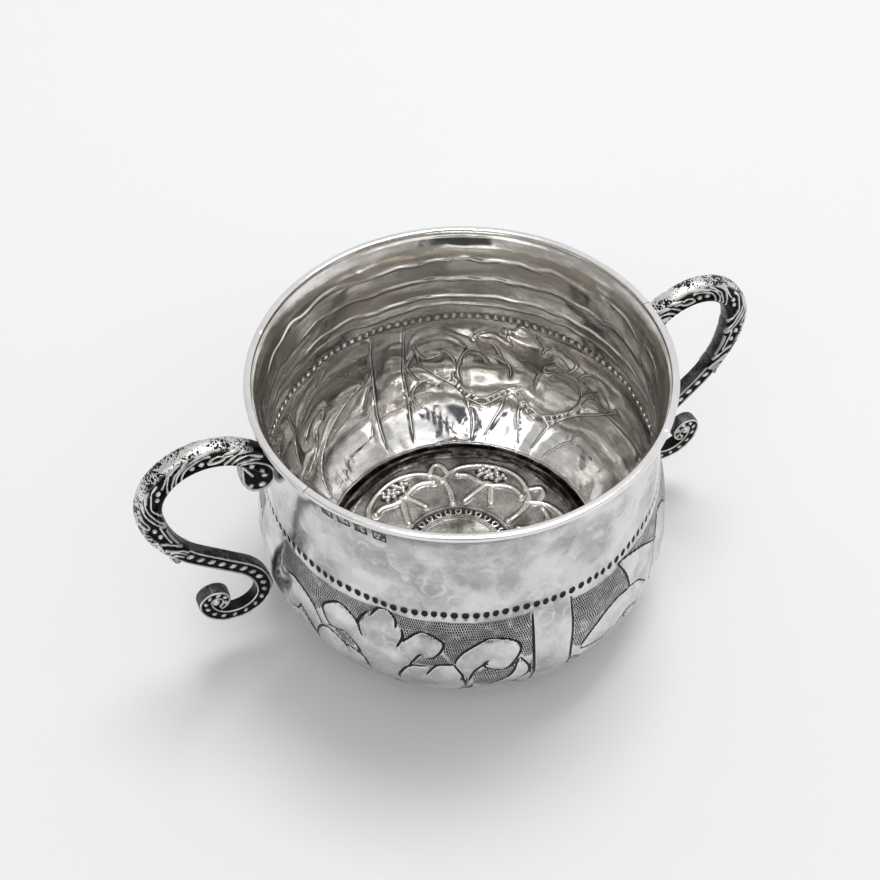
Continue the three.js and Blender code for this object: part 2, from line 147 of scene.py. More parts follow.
curled_leaf = [
    [(63.5, 33.4), (65.4, 37.1), (70.8, 41.4), (74.1, 42), (79.1, 40.2), (80.7, 36.5), (77.8, 30.5),
     (75.8, 29.3), (71.6, 31.2), (71.2, 33), (72, 33.8)],
    [(72.2, 33.8), (68.7, 30.1), (67.1, 25.4)],
    [(79.7, 32.2), (78.2, 26.6), (72.9, 21.5), (68.4, 18.5), (64.5, 15.4), (61.2, 8.6), (61.4, 5.9)],
    [(80.5, 33.4), (82.8, 28.9), (82.6, 25.4), (79.1, 19.5)],
    [(73.2, 18.1), (78.4, 20.5), (82.2, 17.2), (82, 14.9)],
    [(85, 17), (77.9, 11.3), (67.4, 5.9)],
    [(43.5, 15.8), (44.2, 11.8), (40.6, 5.9)],
    [(50.4, 17.2), (50.7, 12.2), (55.5, 5.9)],
]
strapwork = [
    [(84.3, 47.3), (84.1, 35.6), (84.3, 24.6), (84.2, 14), (85.8, 6.4)],
    [(95.8, 47.7), (95.4, 37.5), (94.8, 25.4), (96.1, 14.9), (98, 6.4)],
    [(96, 24.4), (97.5, 21.9), (100.2, 17.2)],
]
pointed_leaf = [
    [(98.1, 27.7), (102.3, 32.2), (108.9, 36.3), (113.1, 36.9), (120.1, 35), (125, 29.3)],
    [(98.3, 26.4), (103.9, 24.4), (111, 25.2), (113.9, 26.9), (118, 26.6), (124.3, 21.5)],
    [(113.9, 26.6), (115.8, 22.8), (119.3, 20.8), (121.2, 17.2), (124.6, 14.5), (131.3, 12.7)],
    [(112.7, 47.8), (115.1, 42.6), (116.3, 36.9)],
    [(113.3, 47.8), (118, 46.7), (125, 43.8), (131.8, 39.2)],
    [(99, 25.7), (107.8, 21.2), (117.4, 15.8), (127, 10), (132.2, 5.9)],
    [(99.7, 11.5), (102.1, 9.3), (113.6, 8.4), (121.7, 5.7)],
    [(131.8, 39.2), (128.4, 29.3), (128.4, 25.7), (131.5, 17.2)],
    [(131.8, 39.2), (137, 43.5), (143, 42), (146.5, 37), (143, 31.5), (137, 30.5)],
    [(137, 30.5), (141, 25), (140, 18), (136, 12), (137, 5.9)],
]
vine_gap = 1.7
lower_vine = [(turn, height - vine_gap) for turn, height in vine]
mirrored = [[(180 - turn, height) for turn, height in line] for line in edge_leaves]
chased_lines = [*edge_leaves, *flower, vine, lower_vine, *curled_leaf, *strapwork, *pointed_leaf, *mirrored]

# The matted ground fills the places between the flowers and the row of punches.
matted_grounds = [
    [(8, 48), (84, 48), (84, 33.5), (81, 33.5), (80.7, 36.5), (79.1, 40.2), (74.1, 42), (70.8, 41.4),
     (65.4, 37.1), (63, 33.4), (60.5, 38.7), (60.2, 41.2), (56, 43.6), (53.5, 43), (50.2, 39.5),
     (49.7, 42.4), (47.8, 45.7), (45.2, 48.4), (42.5, 47.3), (39.9, 45), (37.6, 40.6), (35.7, 41.8),
     (31.1, 43.8), (26.8, 41), (26, 38.7), (23.3, 35.9), (20.8, 38.1), (14.6, 40.2), (8, 39)],
    [(29.5, 33.6), (33.4, 34.6), (37, 31.5), (33.6, 30.8)],
    [(52.6, 31.8), (56.8, 31.7), (63.2, 33), (60, 37), (58.1, 34.9), (55.5, 35.6)],
    [(68, 29.3), (71.2, 31.2), (75.8, 29.3), (79.5, 31.8), (78.2, 26.6), (72.9, 21.8), (68.3, 22.8)],
    [(96, 47.6), (112.6, 47.6), (115.1, 42.6), (116.1, 37.2), (108.9, 36.5), (102.3, 32.4), (98.1, 28),
     (95.4, 30)],
    [(114, 48), (118, 46.9), (125, 44), (131.6, 40), (137, 44), (143, 42.4), (147, 37), (156, 35.9),
     (159, 38.1), (165, 40.2), (172, 39), (172, 48)],
]

# How wide and how deep the work goes, in millimetres. Between the lines the wall swells into soft pillows,
# and the whole face lies a little under the nominal one, which leaves room for the hammer's marks.
groove_half_width = 0.9
line_half_width = 0.34
line_depth = 0.3
line_reach = 5.0
ground_depth = 0.14
pillow_height = 0.3
pillow_reach = 4.5
mean_radius = 54.0
design_bottom, design_top = 8, 48.6
neck_depth = 0.06
planished_depth = 0.2
edge_fade = 2.5
inner_share = 0.85

# Crests left by the hammer round the inside of the neck: heights, half widths and shares of the full height.
neck_crests = [(55.6, 1.0, 0.5), (59.2, 1.2, 1.0), (66.8, 1.3, 1.0), (74.2, 1.0, 0.7)]
crest_height = 0.16
crest_spread = 1.6


def flat_place(turn, height):
    """Unrolled place on the wall, in millimetres round and up the sheet."""
    return np.stack([np.radians(turn) * mean_radius, np.interp(height, wall_line[:, 1], wall_run)], -1)


def places_near(places, path, reach):
    """The numbers of the places that lie in the box round a path, widened by a reach."""
    return np.flatnonzero(np.all((places > path.min(0) - reach) & (places < path.max(0) + reach), axis=1))


def line_distances(places, lines, reach):
    """Each place's distance to the nearest line, less than nought on its right, and the line's half width."""
    nearest = np.full(len(places), float(reach))
    half_width = np.full(len(places), -1.0)
    for line in lines:
        path = smooth_line(flat_place(*np.array(line, float).T), 6)
        near = places_near(places, path, reach)
        chosen, best, width = places[near], nearest[near], half_width[near]
        for i, (start, end) in enumerate(zip(path[:-1], path[1:])):
            run = end - start
            offset = chosen - start
            along = np.clip((offset @ run) / (run @ run), 0, 1)
            away = np.linalg.norm(offset - along[:, None] * run, axis=1)
            side = np.sign(run[0] * offset[:, 1] - run[1] * offset[:, 0])
            share = (i + along) / (len(path) - 1)
            taper = 0.4 + 0.6 * np.sqrt(np.sin(np.pi * np.clip(share, 0.01, 0.99)))
            closer = away < np.abs(best)
            best = np.where(closer, away * np.where(side < 0, -1, 1), best)
            width = np.where(closer, line_half_width * taper, width)
        nearest[near], half_width[near] = best, width
    return nearest, half_width - 2 * np.clip(np.abs(nearest) - 0.6, 0, None)


def inside_outline(places, outline):
    """True for each place inside a closed outline, counted by the crossings to one side."""
    found = np.zeros(len(places), bool)
    for start, end in zip(outline, np.roll(outline, -1, axis=0)):
        spans = (start[1] > places[:, 1]) != (end[1] > places[:, 1])
        with np.errstate(divide="ignore", invalid="ignore"):
            crossing = (end[0] - start[0]) * (places[:, 1] - start[1]) / (end[1] - start[1]) + start[0]
        found ^= spans & (places[:, 0] < crossing)
    return found


def waves(points, size, seed, count=10):
    """Soft even-sized waves through a set of points, from minus one to one."""
    random = np.random.default_rng(seed)
    ways = random.normal(size=(count, 3))
    ways *= (2 * np.pi / size / np.linalg.norm(ways, axis=1))[:, None] * random.uniform(0.7, 1.3, (count, 1))
    total = np.sin(points @ ways.T + random.uniform(0, 2 * np.pi, count)).sum(1)
    return total / math.sqrt(count * 2)


def bmesh_object(name, bm):
    """A new object at the origin that holds the finished mesh, shaded smooth."""
    mesh = bpy.data.meshes.new(name)
    bm.to_mesh(mesh)
    bm.free()
    mesh.shade_smooth()
    made = bpy.data.objects.new(name, mesh)
    bpy.context.scene.collection.objects.link(made)
    return made


def corner_places(made):
    """Where each corner of the mesh is, in millimetres."""
    places = np.empty(len(made.data.vertices) * 3, np.float32)
    made.data.vertices.foreach_get("co", places)
    return places.reshape(-1, 3).astype(float) / MM


def move_corners(made, places):
    made.data.vertices.foreach_set("co", (places * MM).astype(np.float32).ravel())
    made.data.update()


def keep_value(made, name, values):
    """Keeps one number for each corner, which the material reads by its name."""
    attribute = made.data.attributes.new(name, "FLOAT", "POINT")
    attribute.data.foreach_set("value", np.asarray(values, np.float32))


def rows_and_columns(places, rows, columns):
    """Which row and which column of a flat grid, two units wide, each of its corners lies in."""
    shares = (places[:, :2] + 1) / 2
    return np.rint(shares * (rows, columns)).astype(int).T


def turned_sheet(name, profile, steps):
    """A sheet rolled round the cup's axis to a profile of radii and heights, its edges welded and closed."""
    profile = np.array(profile)
    bm = bmesh.new()
    bmesh.ops.create_grid(bm, x_segments=len(profile) - 1, y_segments=steps, size=1)
    made = bmesh_object(name, bm)
    row, column = rows_and_columns(corner_places(made) * MM, len(profile) - 1, steps)
    turn = column % steps * 2 * np.pi / steps
    radius, height = profile[row].T
    move_corners(made, np.stack([radius * np.cos(turn), radius * np.sin(turn), height], -1))
    close_mesh(made)
    return made


def close_mesh(made):
    """Welds corners that meet, fills any open end and turns every face outwards."""
    bm = bmesh.new()
    bm.from_mesh(made.data)
    bmesh.ops.remove_doubles(bm, verts=bm.verts, dist=0.002 * MM)
    bmesh.ops.holes_fill(bm, edges=[edge for edge in bm.edges if edge.is_boundary], sides=0)
    bmesh.ops.recalc_face_normals(bm, faces=bm.faces)
    bm.to_mesh(made.data)
    bm.free()
    made.data.shade_smooth()


def bowl_profile():
    """Radii and heights round the wall's section: up the outside, over the edge and down the inside."""
    radial, up = wall_normal(inner_rows)
    inner = np.stack([wall_radius(inner_rows) - wall * radial, inner_rows - wall * up], -1)
    inner[0] = rim_inner_radius, wall_top
    outer = np.stack([wall_radius(outer_rows), outer_rows], -1)
    return [*outer[:-1], (rim_inner_radius + wall, wall_top), *inner, (lip_radius, foot_height), outer[0]]


def is_matted(flat):
    """True for each unrolled place that lies on one of the matted grounds."""
    found = np.zeros(len(flat), bool)
    for ground in matted_grounds:
        found |= inside_outline(flat, flat_place(*np.array(ground, float).T))
    return found


def punch_distance(turn, level):
    """Distance from each place to the middle of the nearest round punch."""
    column = turn / 360 * columns
    half = columns_per_punch / 2
    across = ((column + half) % columns_per_punch - half) * 2 * math.pi * punch_row_radius / columns
    return np.hypot(across, (level - punch_height) * punch_squeeze)


def hammer_crests(wandering):
    """How much of a full crest each place has, from its height as the crests wander up and down."""
    crest = np.zeros(len(wandering))
    for middle, half_width, share in neck_crests:
        crest = np.maximum(crest, share * np.exp(-((wandering - middle) / half_width / crest_spread) ** 2))
    return crest


def shift_punches(places, turn, level):
    """Moves the row of punches a little up, down and round, as when each is struck by hand."""
    near_row = np.exp(-((level - punch_height) / 2.4) ** 2)
    swing = np.radians(turn)
    wander = 0.3 * np.sin(swing * 7 + 1) + 0.22 * np.sin(swing * 17)
    drift = 0.0045 * np.sin(swing * 23 + 2)
    distance = np.hypot(places[:, 0], places[:, 1])
    places[:, 0] = distance * np.cos(swing + drift * near_row)
    places[:, 1] = distance * np.sin(swing + drift * near_row)
    places[:, 2] += wander * near_row


def chased_bowl():
    made = turned_sheet("raised_bowl", bowl_profile(), columns)
    places = corner_places(made)
    height = places[:, 2]
    radius = np.hypot(places[:, 0], places[:, 1])
    turn = np.degrees(np.arctan2(places[:, 1], places[:, 0])) % 360
    is_inside = radius < wall_radius(height) - wall * 0.6
    level = np.where(is_inside, height + wall * wall_normal(height)[1], height)

    flat = flat_place(turn % 180, level)
    from_line, line_width = line_distances(flat, chased_lines, line_reach)
    from_punch = punch_distance(turn, level)
    matted = is_matted(flat)
    groove = smoothstep(groove_half_width, 0, np.abs(from_line))
    punched = np.sqrt(np.clip(1 - (from_punch / punch_dent_radius) ** 2, 0, 1))
    worked = (level > design_bottom) * (level < design_top)
    pillow = smoothstep(0, pillow_reach, np.abs(from_line)) * worked

    sink = groove * line_depth + punched * punch_depth + (1 - pillow) * pillow_height * worked
    sink += np.where(matted, ground_depth, 0) + neck_depth * (level >= design_top) + planished_depth
    dents = waves(places, 17, 3) * 0.1 + waves(places, 8, 4) * 0.05
    ripple = waves(places * [1, 1, 0.25], 23, 5) * 0.8 + waves(places * [1, 1, 0.4], 9, 6) * 0.35
    wandering = level + 1.5 * ripple
    sink += np.where(is_inside, dents * 1.25 + crest_height * hammer_crests(wandering), dents)
    sink *= smoothstep(wall_top - 0.2, wall_top - edge_fade, height)
    sink *= smoothstep(foot_height, foot_height + edge_fade, height)
    sink *= np.where(is_inside, inner_share, 1.0)

    radial, up = wall_normal(level)
    outward = places[:, :2] / radius[:, None]
    places[:, :2] -= outward * (sink * radial)[:, None]
    places[:, 2] -= sink * up
    shift_punches(places, turn, level)
    move_corners(made, places)
    kept = {"from_line": np.clip(from_line, -3, 3), "line_width": np.clip(line_width, -2, 1),
            "from_punch": np.clip(from_punch, 0, 3), "matting": matted, "inside": is_inside,
            "wandering": wandering}
    for name, values in kept.items():
        keep_value(made, name, values)
    return made


def new_material(name):
    made = bpy.data.materials.new(name)
    made.use_nodes = True
    made.node_tree.nodes.clear()
    return made


class Value:
    """A number that changes over the surface. Arithmetic with it makes the nodes that work it out."""

    def __init__(self, tree, socket):
        self.tree = tree
        self.socket = socket

    def __add__(self, other):
        return math_node(self.tree, "ADD", self, other)

    def __sub__(self, other):
        return math_node(self.tree, "SUBTRACT", self, other)

    def __rsub__(self, other):
        return math_node(self.tree, "SUBTRACT", other, self)

    def __mul__(self, other):
        return math_node(self.tree, "MULTIPLY", self, other)

    def __truediv__(self, other):
        return math_node(self.tree, "DIVIDE", self, other)

    def __abs__(self):
        return math_node(self.tree, "ABSOLUTE", self)

    def clamped(self):
        """The same value, held between nought and one."""
        self.socket.node.use_clamp = True
        return self


def set_input(tree, socket, value):
    """Links an input to what another node puts out, or gives it a fixed value."""
    if isinstance(value, Value):
        value = value.socket
    if isinstance(value, bpy.types.NodeSocket):
        tree.links.new(value, socket)
    else:
        socket.default_value = value


def add_node(tree, kind, inputs=(), **settings):
    """A node with its settings, and its inputs set or linked by name or number."""
    node = tree.nodes.new(kind)
    for key, value in settings.items():
        setattr(node, key, value)
    for socket, value in dict(inputs).items():
        set_input(tree, node.inputs[socket], value)
    return node


def math_node(tree, operation, first, second=0.0):
    node = add_node(tree, "ShaderNodeMath", {0: first, 1: second}, operation=operation)
    return Value(tree, node.outputs[0])


def greatest(*values):
    """The greatest of several values. Only the first may be a plain number."""
    best = values[0]
    for value in values[1:]:
        best = math_node(value.tree, "MAXIMUM", best, value)
    return best


def place_parts(tree, vector):
    """The three parts of a place or a direction."""
    return [Value(tree, socket) for socket in add_node(tree, "ShaderNodeSeparateXYZ", {0: vector}).outputs]


def turn_of(x, y):
    """Turn round the upright axis, in radians from minus pi to pi."""
    return math_node(x.tree, "ARCTAN2", y, x)


def mix_colour(tree, share, first, second):
    return add_node(tree, "ShaderNodeMix", {0: share, 6: first, 7: second}, data_type="RGBA").outputs[2]


def mix_value(tree, share, first, second):
    return Value(tree, add_node(tree, "ShaderNodeMix", {0: share, 2: first, 3: second}).outputs[0])


def ramp(tree, value, low, high, start=0.0, end=1.0):
    """A soft step from start to end as the value goes from low to high."""
    inputs = {"Value": value, "From Min": low, "From Max": high, "To Min": start, "To Max": end}
    node = add_node(tree, "ShaderNodeMapRange", inputs, interpolation_type="SMOOTHSTEP")
    return Value(tree, node.outputs[0])


def noise(tree, vector, scale, detail=4.0, roughness=0.6):
    inputs = {"Vector": vector, "Scale": scale, "Detail": detail, "Roughness": roughness}
    return Value(tree, add_node(tree, "ShaderNodeTexNoise", inputs).outputs[0])


def cells(tree, vector, scale):
    """A node that splits space into uneven cells, like the marks of a hammer or the pits of a casting."""
    return add_node(tree, "ShaderNodeTexVoronoi", {"Vector": vector, "Scale": scale})


def kept_value(tree, name):
    return Value(tree, add_node(tree, "ShaderNodeAttribute", attribute_name=name).outputs["Fac"])


def worn_silver_group():
    """Silver that has been rubbed bright on its high places and left grey and black in its low ones."""
    group = bpy.data.node_groups.new("worn_silver", "ShaderNodeTree")
    sockets = {"Vector": "Vector", "Silver": "Color", "Tarnish": "Color", "Oxide": "Color"}
    for name in ("Polish", "Tarnish Amount", "Cloud Scale", "Smoothest", "Roughest"):
        sockets[name] = "Float"
    for name, kind in sockets.items():
        group.interface.new_socket(name, in_out="INPUT", socket_type="NodeSocket" + kind)
    for name, kind in (("Color", "Color"), ("Roughness", "Float"), ("Height", "Float")):
        group.interface.new_socket(name, in_out="OUTPUT", socket_type="NodeSocket" + kind)
    given = group.nodes.new("NodeGroupInput").outputs
    polish = Value(group, given["Polish"])
    cloud_scale = Value(group, given["Cloud Scale"])

    clouds = noise(group, given["Vector"], cloud_scale, 6.0, 0.62)
    fine = noise(group, given["Vector"], cloud_scale * 18.0, 3.0, 0.65)
    tarnished = (ramp(group, clouds, 0.38, 0.64) * given["Tarnish Amount"]).clamped()
    speckled = ramp(group, fine, 0.42, 0.7) * 0.3
    metal = mix_colour(group, tarnished, given["Silver"], given["Tarnish"])
    blotched = (polish + speckled * -0.5).clamped()
    colour = mix_colour(group, ramp(group, blotched, 0.05, 0.8), given["Oxide"], metal)
    dull = (tarnished + (1.0 - polish)).clamped()
    dull = (dull * 0.7 + speckled).clamped()
    rough = mix_value(group, dull, given["Smoothest"], given["Roughest"])
    add_node(group, "NodeGroupOutput", {"Color": colour, "Roughness": rough, "Height": fine})
    return group


worn_silver = worn_silver_group()
black_oxide = (0.03, 0.027, 0.025, 1)


def finish_surface(tree, inputs):
    surface = add_node(tree, "ShaderNodeBsdfPrincipled", inputs)
    add_node(tree, "ShaderNodeOutputMaterial", {0: surface.outputs[0]})


def silver_material(name, look, grain=0.01):
    """Metal with worn silver's colour. The look gives the group its values, and may give a height too."""
    made = new_material(name)
    tree = made.node_tree
    vector = add_node(tree, "ShaderNodeTexCoord").outputs["Object"]
    values = {"Vector": vector, "Oxide": black_oxide, **look(tree, vector)}
    height = values.pop("Height", None)
    worn = add_node(tree, "ShaderNodeGroup", values, node_tree=worn_silver).outputs
    raised = Value(tree, worn["Height"]) * grain
    if height is not None:
        raised = raised + height
    bump = add_node(tree, "ShaderNodeBump", {"Height": raised, "Distance": MM, "Strength": 1.0})
    finish_surface(tree, {"Base Color": worn["Color"], "Roughness": worn["Roughness"], "Metallic": 1.0,
                          "Normal": bump.outputs[0]})
    return made


# The four plain square punches under the rim, as degrees round and millimetres of height.
square_punches = [(207.6, 74.9), (213.0, 75.0), (218.3, 74.9), (223.8, 74.7)]
square_half = 1.55
square_row_radius = 51.2
dash_count = 586
dash_length = 0.85
dash_shift = 0.41
seam_level = 77.6
shade_bottom, shade_top = 77.2, 77.8

# Colours of the metal: a dull and a bright hammer mark outside, and the high and the low wall inside.
outer_silver = (0.66, 0.66, 0.67, 1), (0.77, 0.77, 0.78, 1)
outer_tarnish = (0.36, 0.355, 0.35, 1), (0.48, 0.475, 0.47, 1)
inner_silver = (0.95, 0.935, 0.91, 1)
inner_tarnish = (0.56, 0.52, 0.465, 1), (0.36, 0.35, 0.35, 1)
# A grey for the painted shade on the band of wall under the rim wire.
painted_rim_shade_colour = (0.42, 0.42, 0.425, 1)


def matting_strokes(tree, vector, turn, height, uneven):
    """Close rows of short upright strokes of a matting punch, each row shifted from the last."""
    row = (height + uneven * 2.2) / dash_length
    stroke = turn * (dash_count / (2 * math.pi)) + math_node(tree, "FLOOR", row) * dash_shift + uneven * 3.0
    beside = abs(math_node(tree, "FRACT", stroke) - 0.5)
    above = abs(math_node(tree, "FRACT", row) - 0.5)
    force = ramp(tree, noise(tree, vector, 420.0, 2.0), 0.3, 0.6, 0.6, 1.0)
    return ramp(tree, beside, 0.46, 0.26) * ramp(tree, above, 0.5, 0.38) * force * kept_value(tree, "matting")


def square_marks(tree, vector, turn, height):
    """The dark edges and worn middles of the square punches."""
    marks = 0.0
    for degrees, middle in square_punches:
        sideways = abs((turn - math.radians(degrees - 360)) * square_row_radius)
        reach = math_node(tree, "SMOOTH_MAX", sideways, abs(height - middle))
        edge = ramp(tree, abs(reach - square_half), 0.3, 0.12)
        worn = ramp(tree, noise(tree, vector, 900.0, 2.0), 0.44, 0.56)
        marks = greatest(marks, edge, ramp(tree, reach, square_half, square_half - 0.3) * worn)
    return marks


def hammer_tones_and_arc_highlights(tree, vector):
    """How bright each hammer mark outside is, and soft broken arcs along their edges, a painted highlight."""
    swirl = add_node(tree, "ShaderNodeTexNoise", {"Vector": vector, "Scale": 160.0, "Detail": 2.0})
    bent = {0: swirl.outputs["Color"], 1: (0.004, 0.004, 0.004), 2: vector}
    swirled = add_node(tree, "ShaderNodeVectorMath", bent, operation="MULTIPLY_ADD").outputs[0]
    tones = cells(tree, swirled, 230.0).outputs["Color"]
    tone = add_node(tree, "ShaderNodeSeparateColor", {0: tones}).outputs[0]
    from_middle = Value(tree, cells(tree, swirled, 165.0).outputs["Distance"])
    arc = ramp(tree, abs(from_middle - 0.44), 0.1, 0.01)
    return tone, arc * ramp(tree, noise(tree, vector, 120.0, 2.0), 0.46, 0.62, 0.0, 0.65)


def crest_relief_and_highlight(tree, vector):
    """How much of a hammer crest's height is left at each place inside the neck. It raises the bump and
    paints a highlight on the crests.
    """
    wandering = kept_value(tree, "wandering")
    crest = 0.0
    for middle, half_width, share in neck_crests:
        crest = greatest(crest, ramp(tree, abs(wandering - middle), half_width, 0.0, 0.0, share))
    return crest * ramp(tree, noise(tree, vector, 60.0, 3.0), 0.3, 0.56, 0.35, 1.0)


def bowl_look(tree, vector):
    inside = kept_value(tree, "inside")
    outside = 1.0 - inside
    x, y, z = place_parts(tree, vector)
    turn = turn_of(x, y)
    height = z * (1 / MM)
    low_wall = ramp(tree, height, 30.0, 12.0)
    uneven = noise(tree, vector, 130.0, 2.0) - 0.5

    in_line = kept_value(tree, "line_width") - abs(kept_value(tree, "from_line"))
    line = ramp(tree, in_line, -0.12, 0.03)
    ridge_line = ramp(tree, in_line, -0.35, 0.2)
    from_punch = kept_value(tree, "from_punch")
    punch = ramp(tree, from_punch, punch_radius, punch_radius - 0.14)
    pearl = ramp(tree, from_punch, 1.0, 0.4)
    struck = matting_strokes(tree, vector, turn, height, uneven)
    squares = square_marks(tree, vector, turn, height)

    # The seam of solder below the rim wire: a thin broken dark line that wanders.
    seam_height = height + uneven * 5.0
    seam = ramp(tree, abs(seam_height - seam_level), 0.22, 0.05)
    seam = seam * ramp(tree, noise(tree, vector, 85.0, 3.0), 0.42, 0.6, 0.0, 0.6)

    # Outside, black fills what was cut. Inside, painted shade darkens the wall beside the ridges and round
    # the pearls.
    black = greatest(line, punch, squares, seam, struck)
    by_ridges = ramp(tree, in_line, -0.8, -0.25) * ramp(tree, in_line, 0.05, -0.15)
    by_pearls = ramp(tree, from_punch, 1.7, 1.2) * ramp(tree, from_punch, 0.75, 1.0)
    painted_ridge_shade = greatest(by_ridges * 0.65, by_pearls * 0.6) * inside
    polish = ((1.0 - black * outside).clamped() - painted_ridge_shade).clamped()

    tone, arcs = hammer_tones_and_arc_highlights(tree, vector)
    silver = mix_colour(tree, inside, mix_colour(tree, tone, *outer_silver), inner_silver)
    # Painted shade: the band of wall between the seam and the rim wire is greyed as if in the rim's shadow.
    painted_rim_shade = ramp(tree, seam_height, shade_bottom, shade_top) * outside
    silver = mix_colour(tree, painted_rim_shade * 0.55, silver, painted_rim_shade_colour)
    tarnish = mix_colour(tree, inside, mix_colour(tree, tone, *outer_tarnish),
                         mix_colour(tree, low_wall, *inner_tarnish))
    crest = crest_relief_and_highlight(tree, vector)
    # Inside, shine is a painted highlight on the ridges, pearls and hammer crests: it thins the tarnish
    # there.
    shine = greatest(ridge_line, pearl, crest)
    # Outside, the tarnish thins to a painted highlight along the edges of the chased lines and on the arcs,
    # which also lift the bump a little.
    amount_outside = 0.9 - greatest(ramp(tree, in_line, -0.75, -0.25) * 0.8, arcs)
    amount_inside = 0.98 - low_wall * 0.25 - shine * 0.95

    marks = add_node(tree, "ShaderNodeTexVoronoi", {"Vector": vector, "Scale": 190.0, "Smoothness": 0.5},
                     feature="SMOOTH_F1")
    planished = Value(tree, marks.outputs["Distance"]) * mix_value(tree, inside, 0.06, low_wall * 0.2 + 0.13)
    planished = planished + arcs * 0.02
    outer = greatest(line, punch) * -0.16 + struck * -0.1 + squares * -0.08
    inner = greatest(ridge_line, pearl) * 0.2 + crest * 0.7
    squeezed = add_node(tree, "ShaderNodeVectorMath", {0: vector, 1: (1.0, 1.0, 4.0)}, operation="MULTIPLY")
    flow = add_node(tree, "ShaderNodeMix", {0: inside, 4: vector, 5: squeezed.outputs[0]}, data_type="VECTOR")
    return {
        "Vector": flow.outputs[1], "Silver": silver, "Tarnish": tarnish, "Polish": polish,
        "Tarnish Amount": mix_value(tree, inside, amount_outside, amount_inside),
        "Cloud Scale": mix_value(tree, inside, 75.0, 48.0), "Smoothest": mix_value(tree, inside, 0.16, 0.07),
        "Roughest": mix_value(tree, inside, 0.36, 0.26),
        "Height": planished + mix_value(tree, inside, outer, inner),
    }


bowl = chased_bowl()
bowl.data.materials.append(silver_material("planished_silver", bowl_look))
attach(bowl, "root")
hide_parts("bowl")

# Rim wire: flat drawn wire bent to a hoop, soldered on the edge of the wall and hammered down by hand.
# Its two ends meet in a fine seam, and its top face is rubbed bright.
rim_width = 1.96
rim_rounding = 0.45
solder_gap = 0.01

# Nicks in the top face, as degrees round and millimetres from the axis. The first is where the ends meet.
meeting_place = (203.7, 53.6)
rim_nicks = [meeting_place, (152.0, 53.5), (143.0, 52.4), (61.0, 52.2), (28.0, 53.5), (310.0, 53.6)]
nick_depth = 0.25


def spun_profile(points, steps):
    """A closed profile of radii and heights, spun once round the cup's axis."""
    bm = bmesh.new()
    corners = [bm.verts.new((radius * MM, 0, height * MM)) for radius, height in points]
    edges = [bm.edges.new(pair) for pair in zip(corners, corners[1:] + corners[:1])]
    bmesh.ops.spin(bm, geom=corners + edges, axis=(0, 0, 1), cent=(0, 0, 0),
                   angle=2 * math.pi, steps=steps, use_merge=True)
    bmesh.ops.recalc_face_normals(bm, faces=bm.faces)
    return bm


def beveled_hoops(bm, size, segments):
    """Rounds every corner that runs round the axis, by a bevel of its hoops of edges."""
    hoops = []
    for edge in bm.edges:
        start, end = (corner.co for corner in edge.verts)
        if abs(start.z - end.z) < 1e-7 and abs(start.xy.length - end.xy.length) < 1e-7:
            hoops.append(edge)
    bmesh.ops.bevel(bm, geom=hoops, offset=size * MM, offset_type="OFFSET", segments=segments, profile=0.5,
                    affect="EDGES", material=-1)


def rim_hoop():
    outer, bottom = rim_inner_radius + rim_width, wall_top + solder_gap
    bm = spun_profile([(rim_inner_radius, bottom), (outer, bottom), (outer, cup_height),
                       (rim_inner_radius, cup_height)], 480)
    beveled_hoops(bm, rim_rounding, 4)
    made = bmesh_object("rim_hoop", bm)
    places = corner_places(made)
    radius = np.hypot(places[:, 0], places[:, 1])
    turn = np.degrees(np.arctan2(places[:, 1], places[:, 0])) % 360
    top = smoothstep(wall_top + 0.3, cup_height, places[:, 2])
    dip = 0.05 * (1 + waves(places, 21, 7)) + 0.025 * (1 + waves(places, 9, 8))
    for degrees, middle in rim_nicks:
        away = np.hypot(np.radians(turn - degrees) * middle, radius - middle)
        dip += nick_depth * smoothstep(0.7, 0.2, away)
    places[:, 2] -= dip * top
    worn = smoothstep(rim_inner_radius + 1, outer, radius) * 0.05 * (1 + waves(places, 15, 9))
    places[:, :2] *= (1 - worn / radius)[:, None]
    move_corners(made, places)
    return made


def rim_look(tree, vector):
    x, y = place_parts(tree, vector)[:2]
    seam = ramp(tree, abs(turn_of(x, y) - math.radians(meeting_place[0] - 360)), 0.003, 0.001)
    return {"Silver": (0.90, 0.895, 0.89, 1), "Tarnish": (0.50, 0.47, 0.43, 1), "Cloud Scale": 70.0,
            "Polish": 1.0 - seam * 0.8, "Tarnish Amount": 0.25, "Smoothest": 0.12, "Roughest": 0.3}


rim = rim_hoop()
rim.data.materials.append(silver_material("rubbed_wire", rim_look))
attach(rim, "root")
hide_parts("rim_wire")

# Foot ring: a low collet turned from sheet, with a plain bottom band and an inner ledge for the base plate.
# It is soldered under the bowl and hidden by the belly from above.
foot_bottom_radius = 43.0
foot_band = 0.9
foot_step = 0.8
ledge_height = 1.9
ledge_radius = 36.9
foot_rounding = 0.18


def foot_collet():
    top = foot_height - solder_gap
    bm = spun_profile([
        (ledge_radius, 0), (foot_bottom_radius, 0), (foot_bottom_radius, foot_band),
        (foot_top_radius, foot_band + foot_step), (foot_top_radius, top), (lip_radius, top),
        (lip_radius, ledge_height), (ledge_radius, ledge_height)], 240)
    beveled_hoops(bm, foot_rounding, 2)
    return bmesh_object("foot_collet", bm)


def foot_look(tree, vector):
    return {"Silver": (0.74, 0.735, 0.73, 1), "Tarnish": (0.46, 0.44, 0.41, 1), "Cloud Scale": 80.0,
            "Polish": 0.9, "Tarnish Amount": 0.7, "Smoothest": 0.18, "Roughest": 0.42}


foot = foot_collet()
foot.data.materials.append(silver_material("foot_silver", foot_look))
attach(foot, "root")
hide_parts("foot_ring")

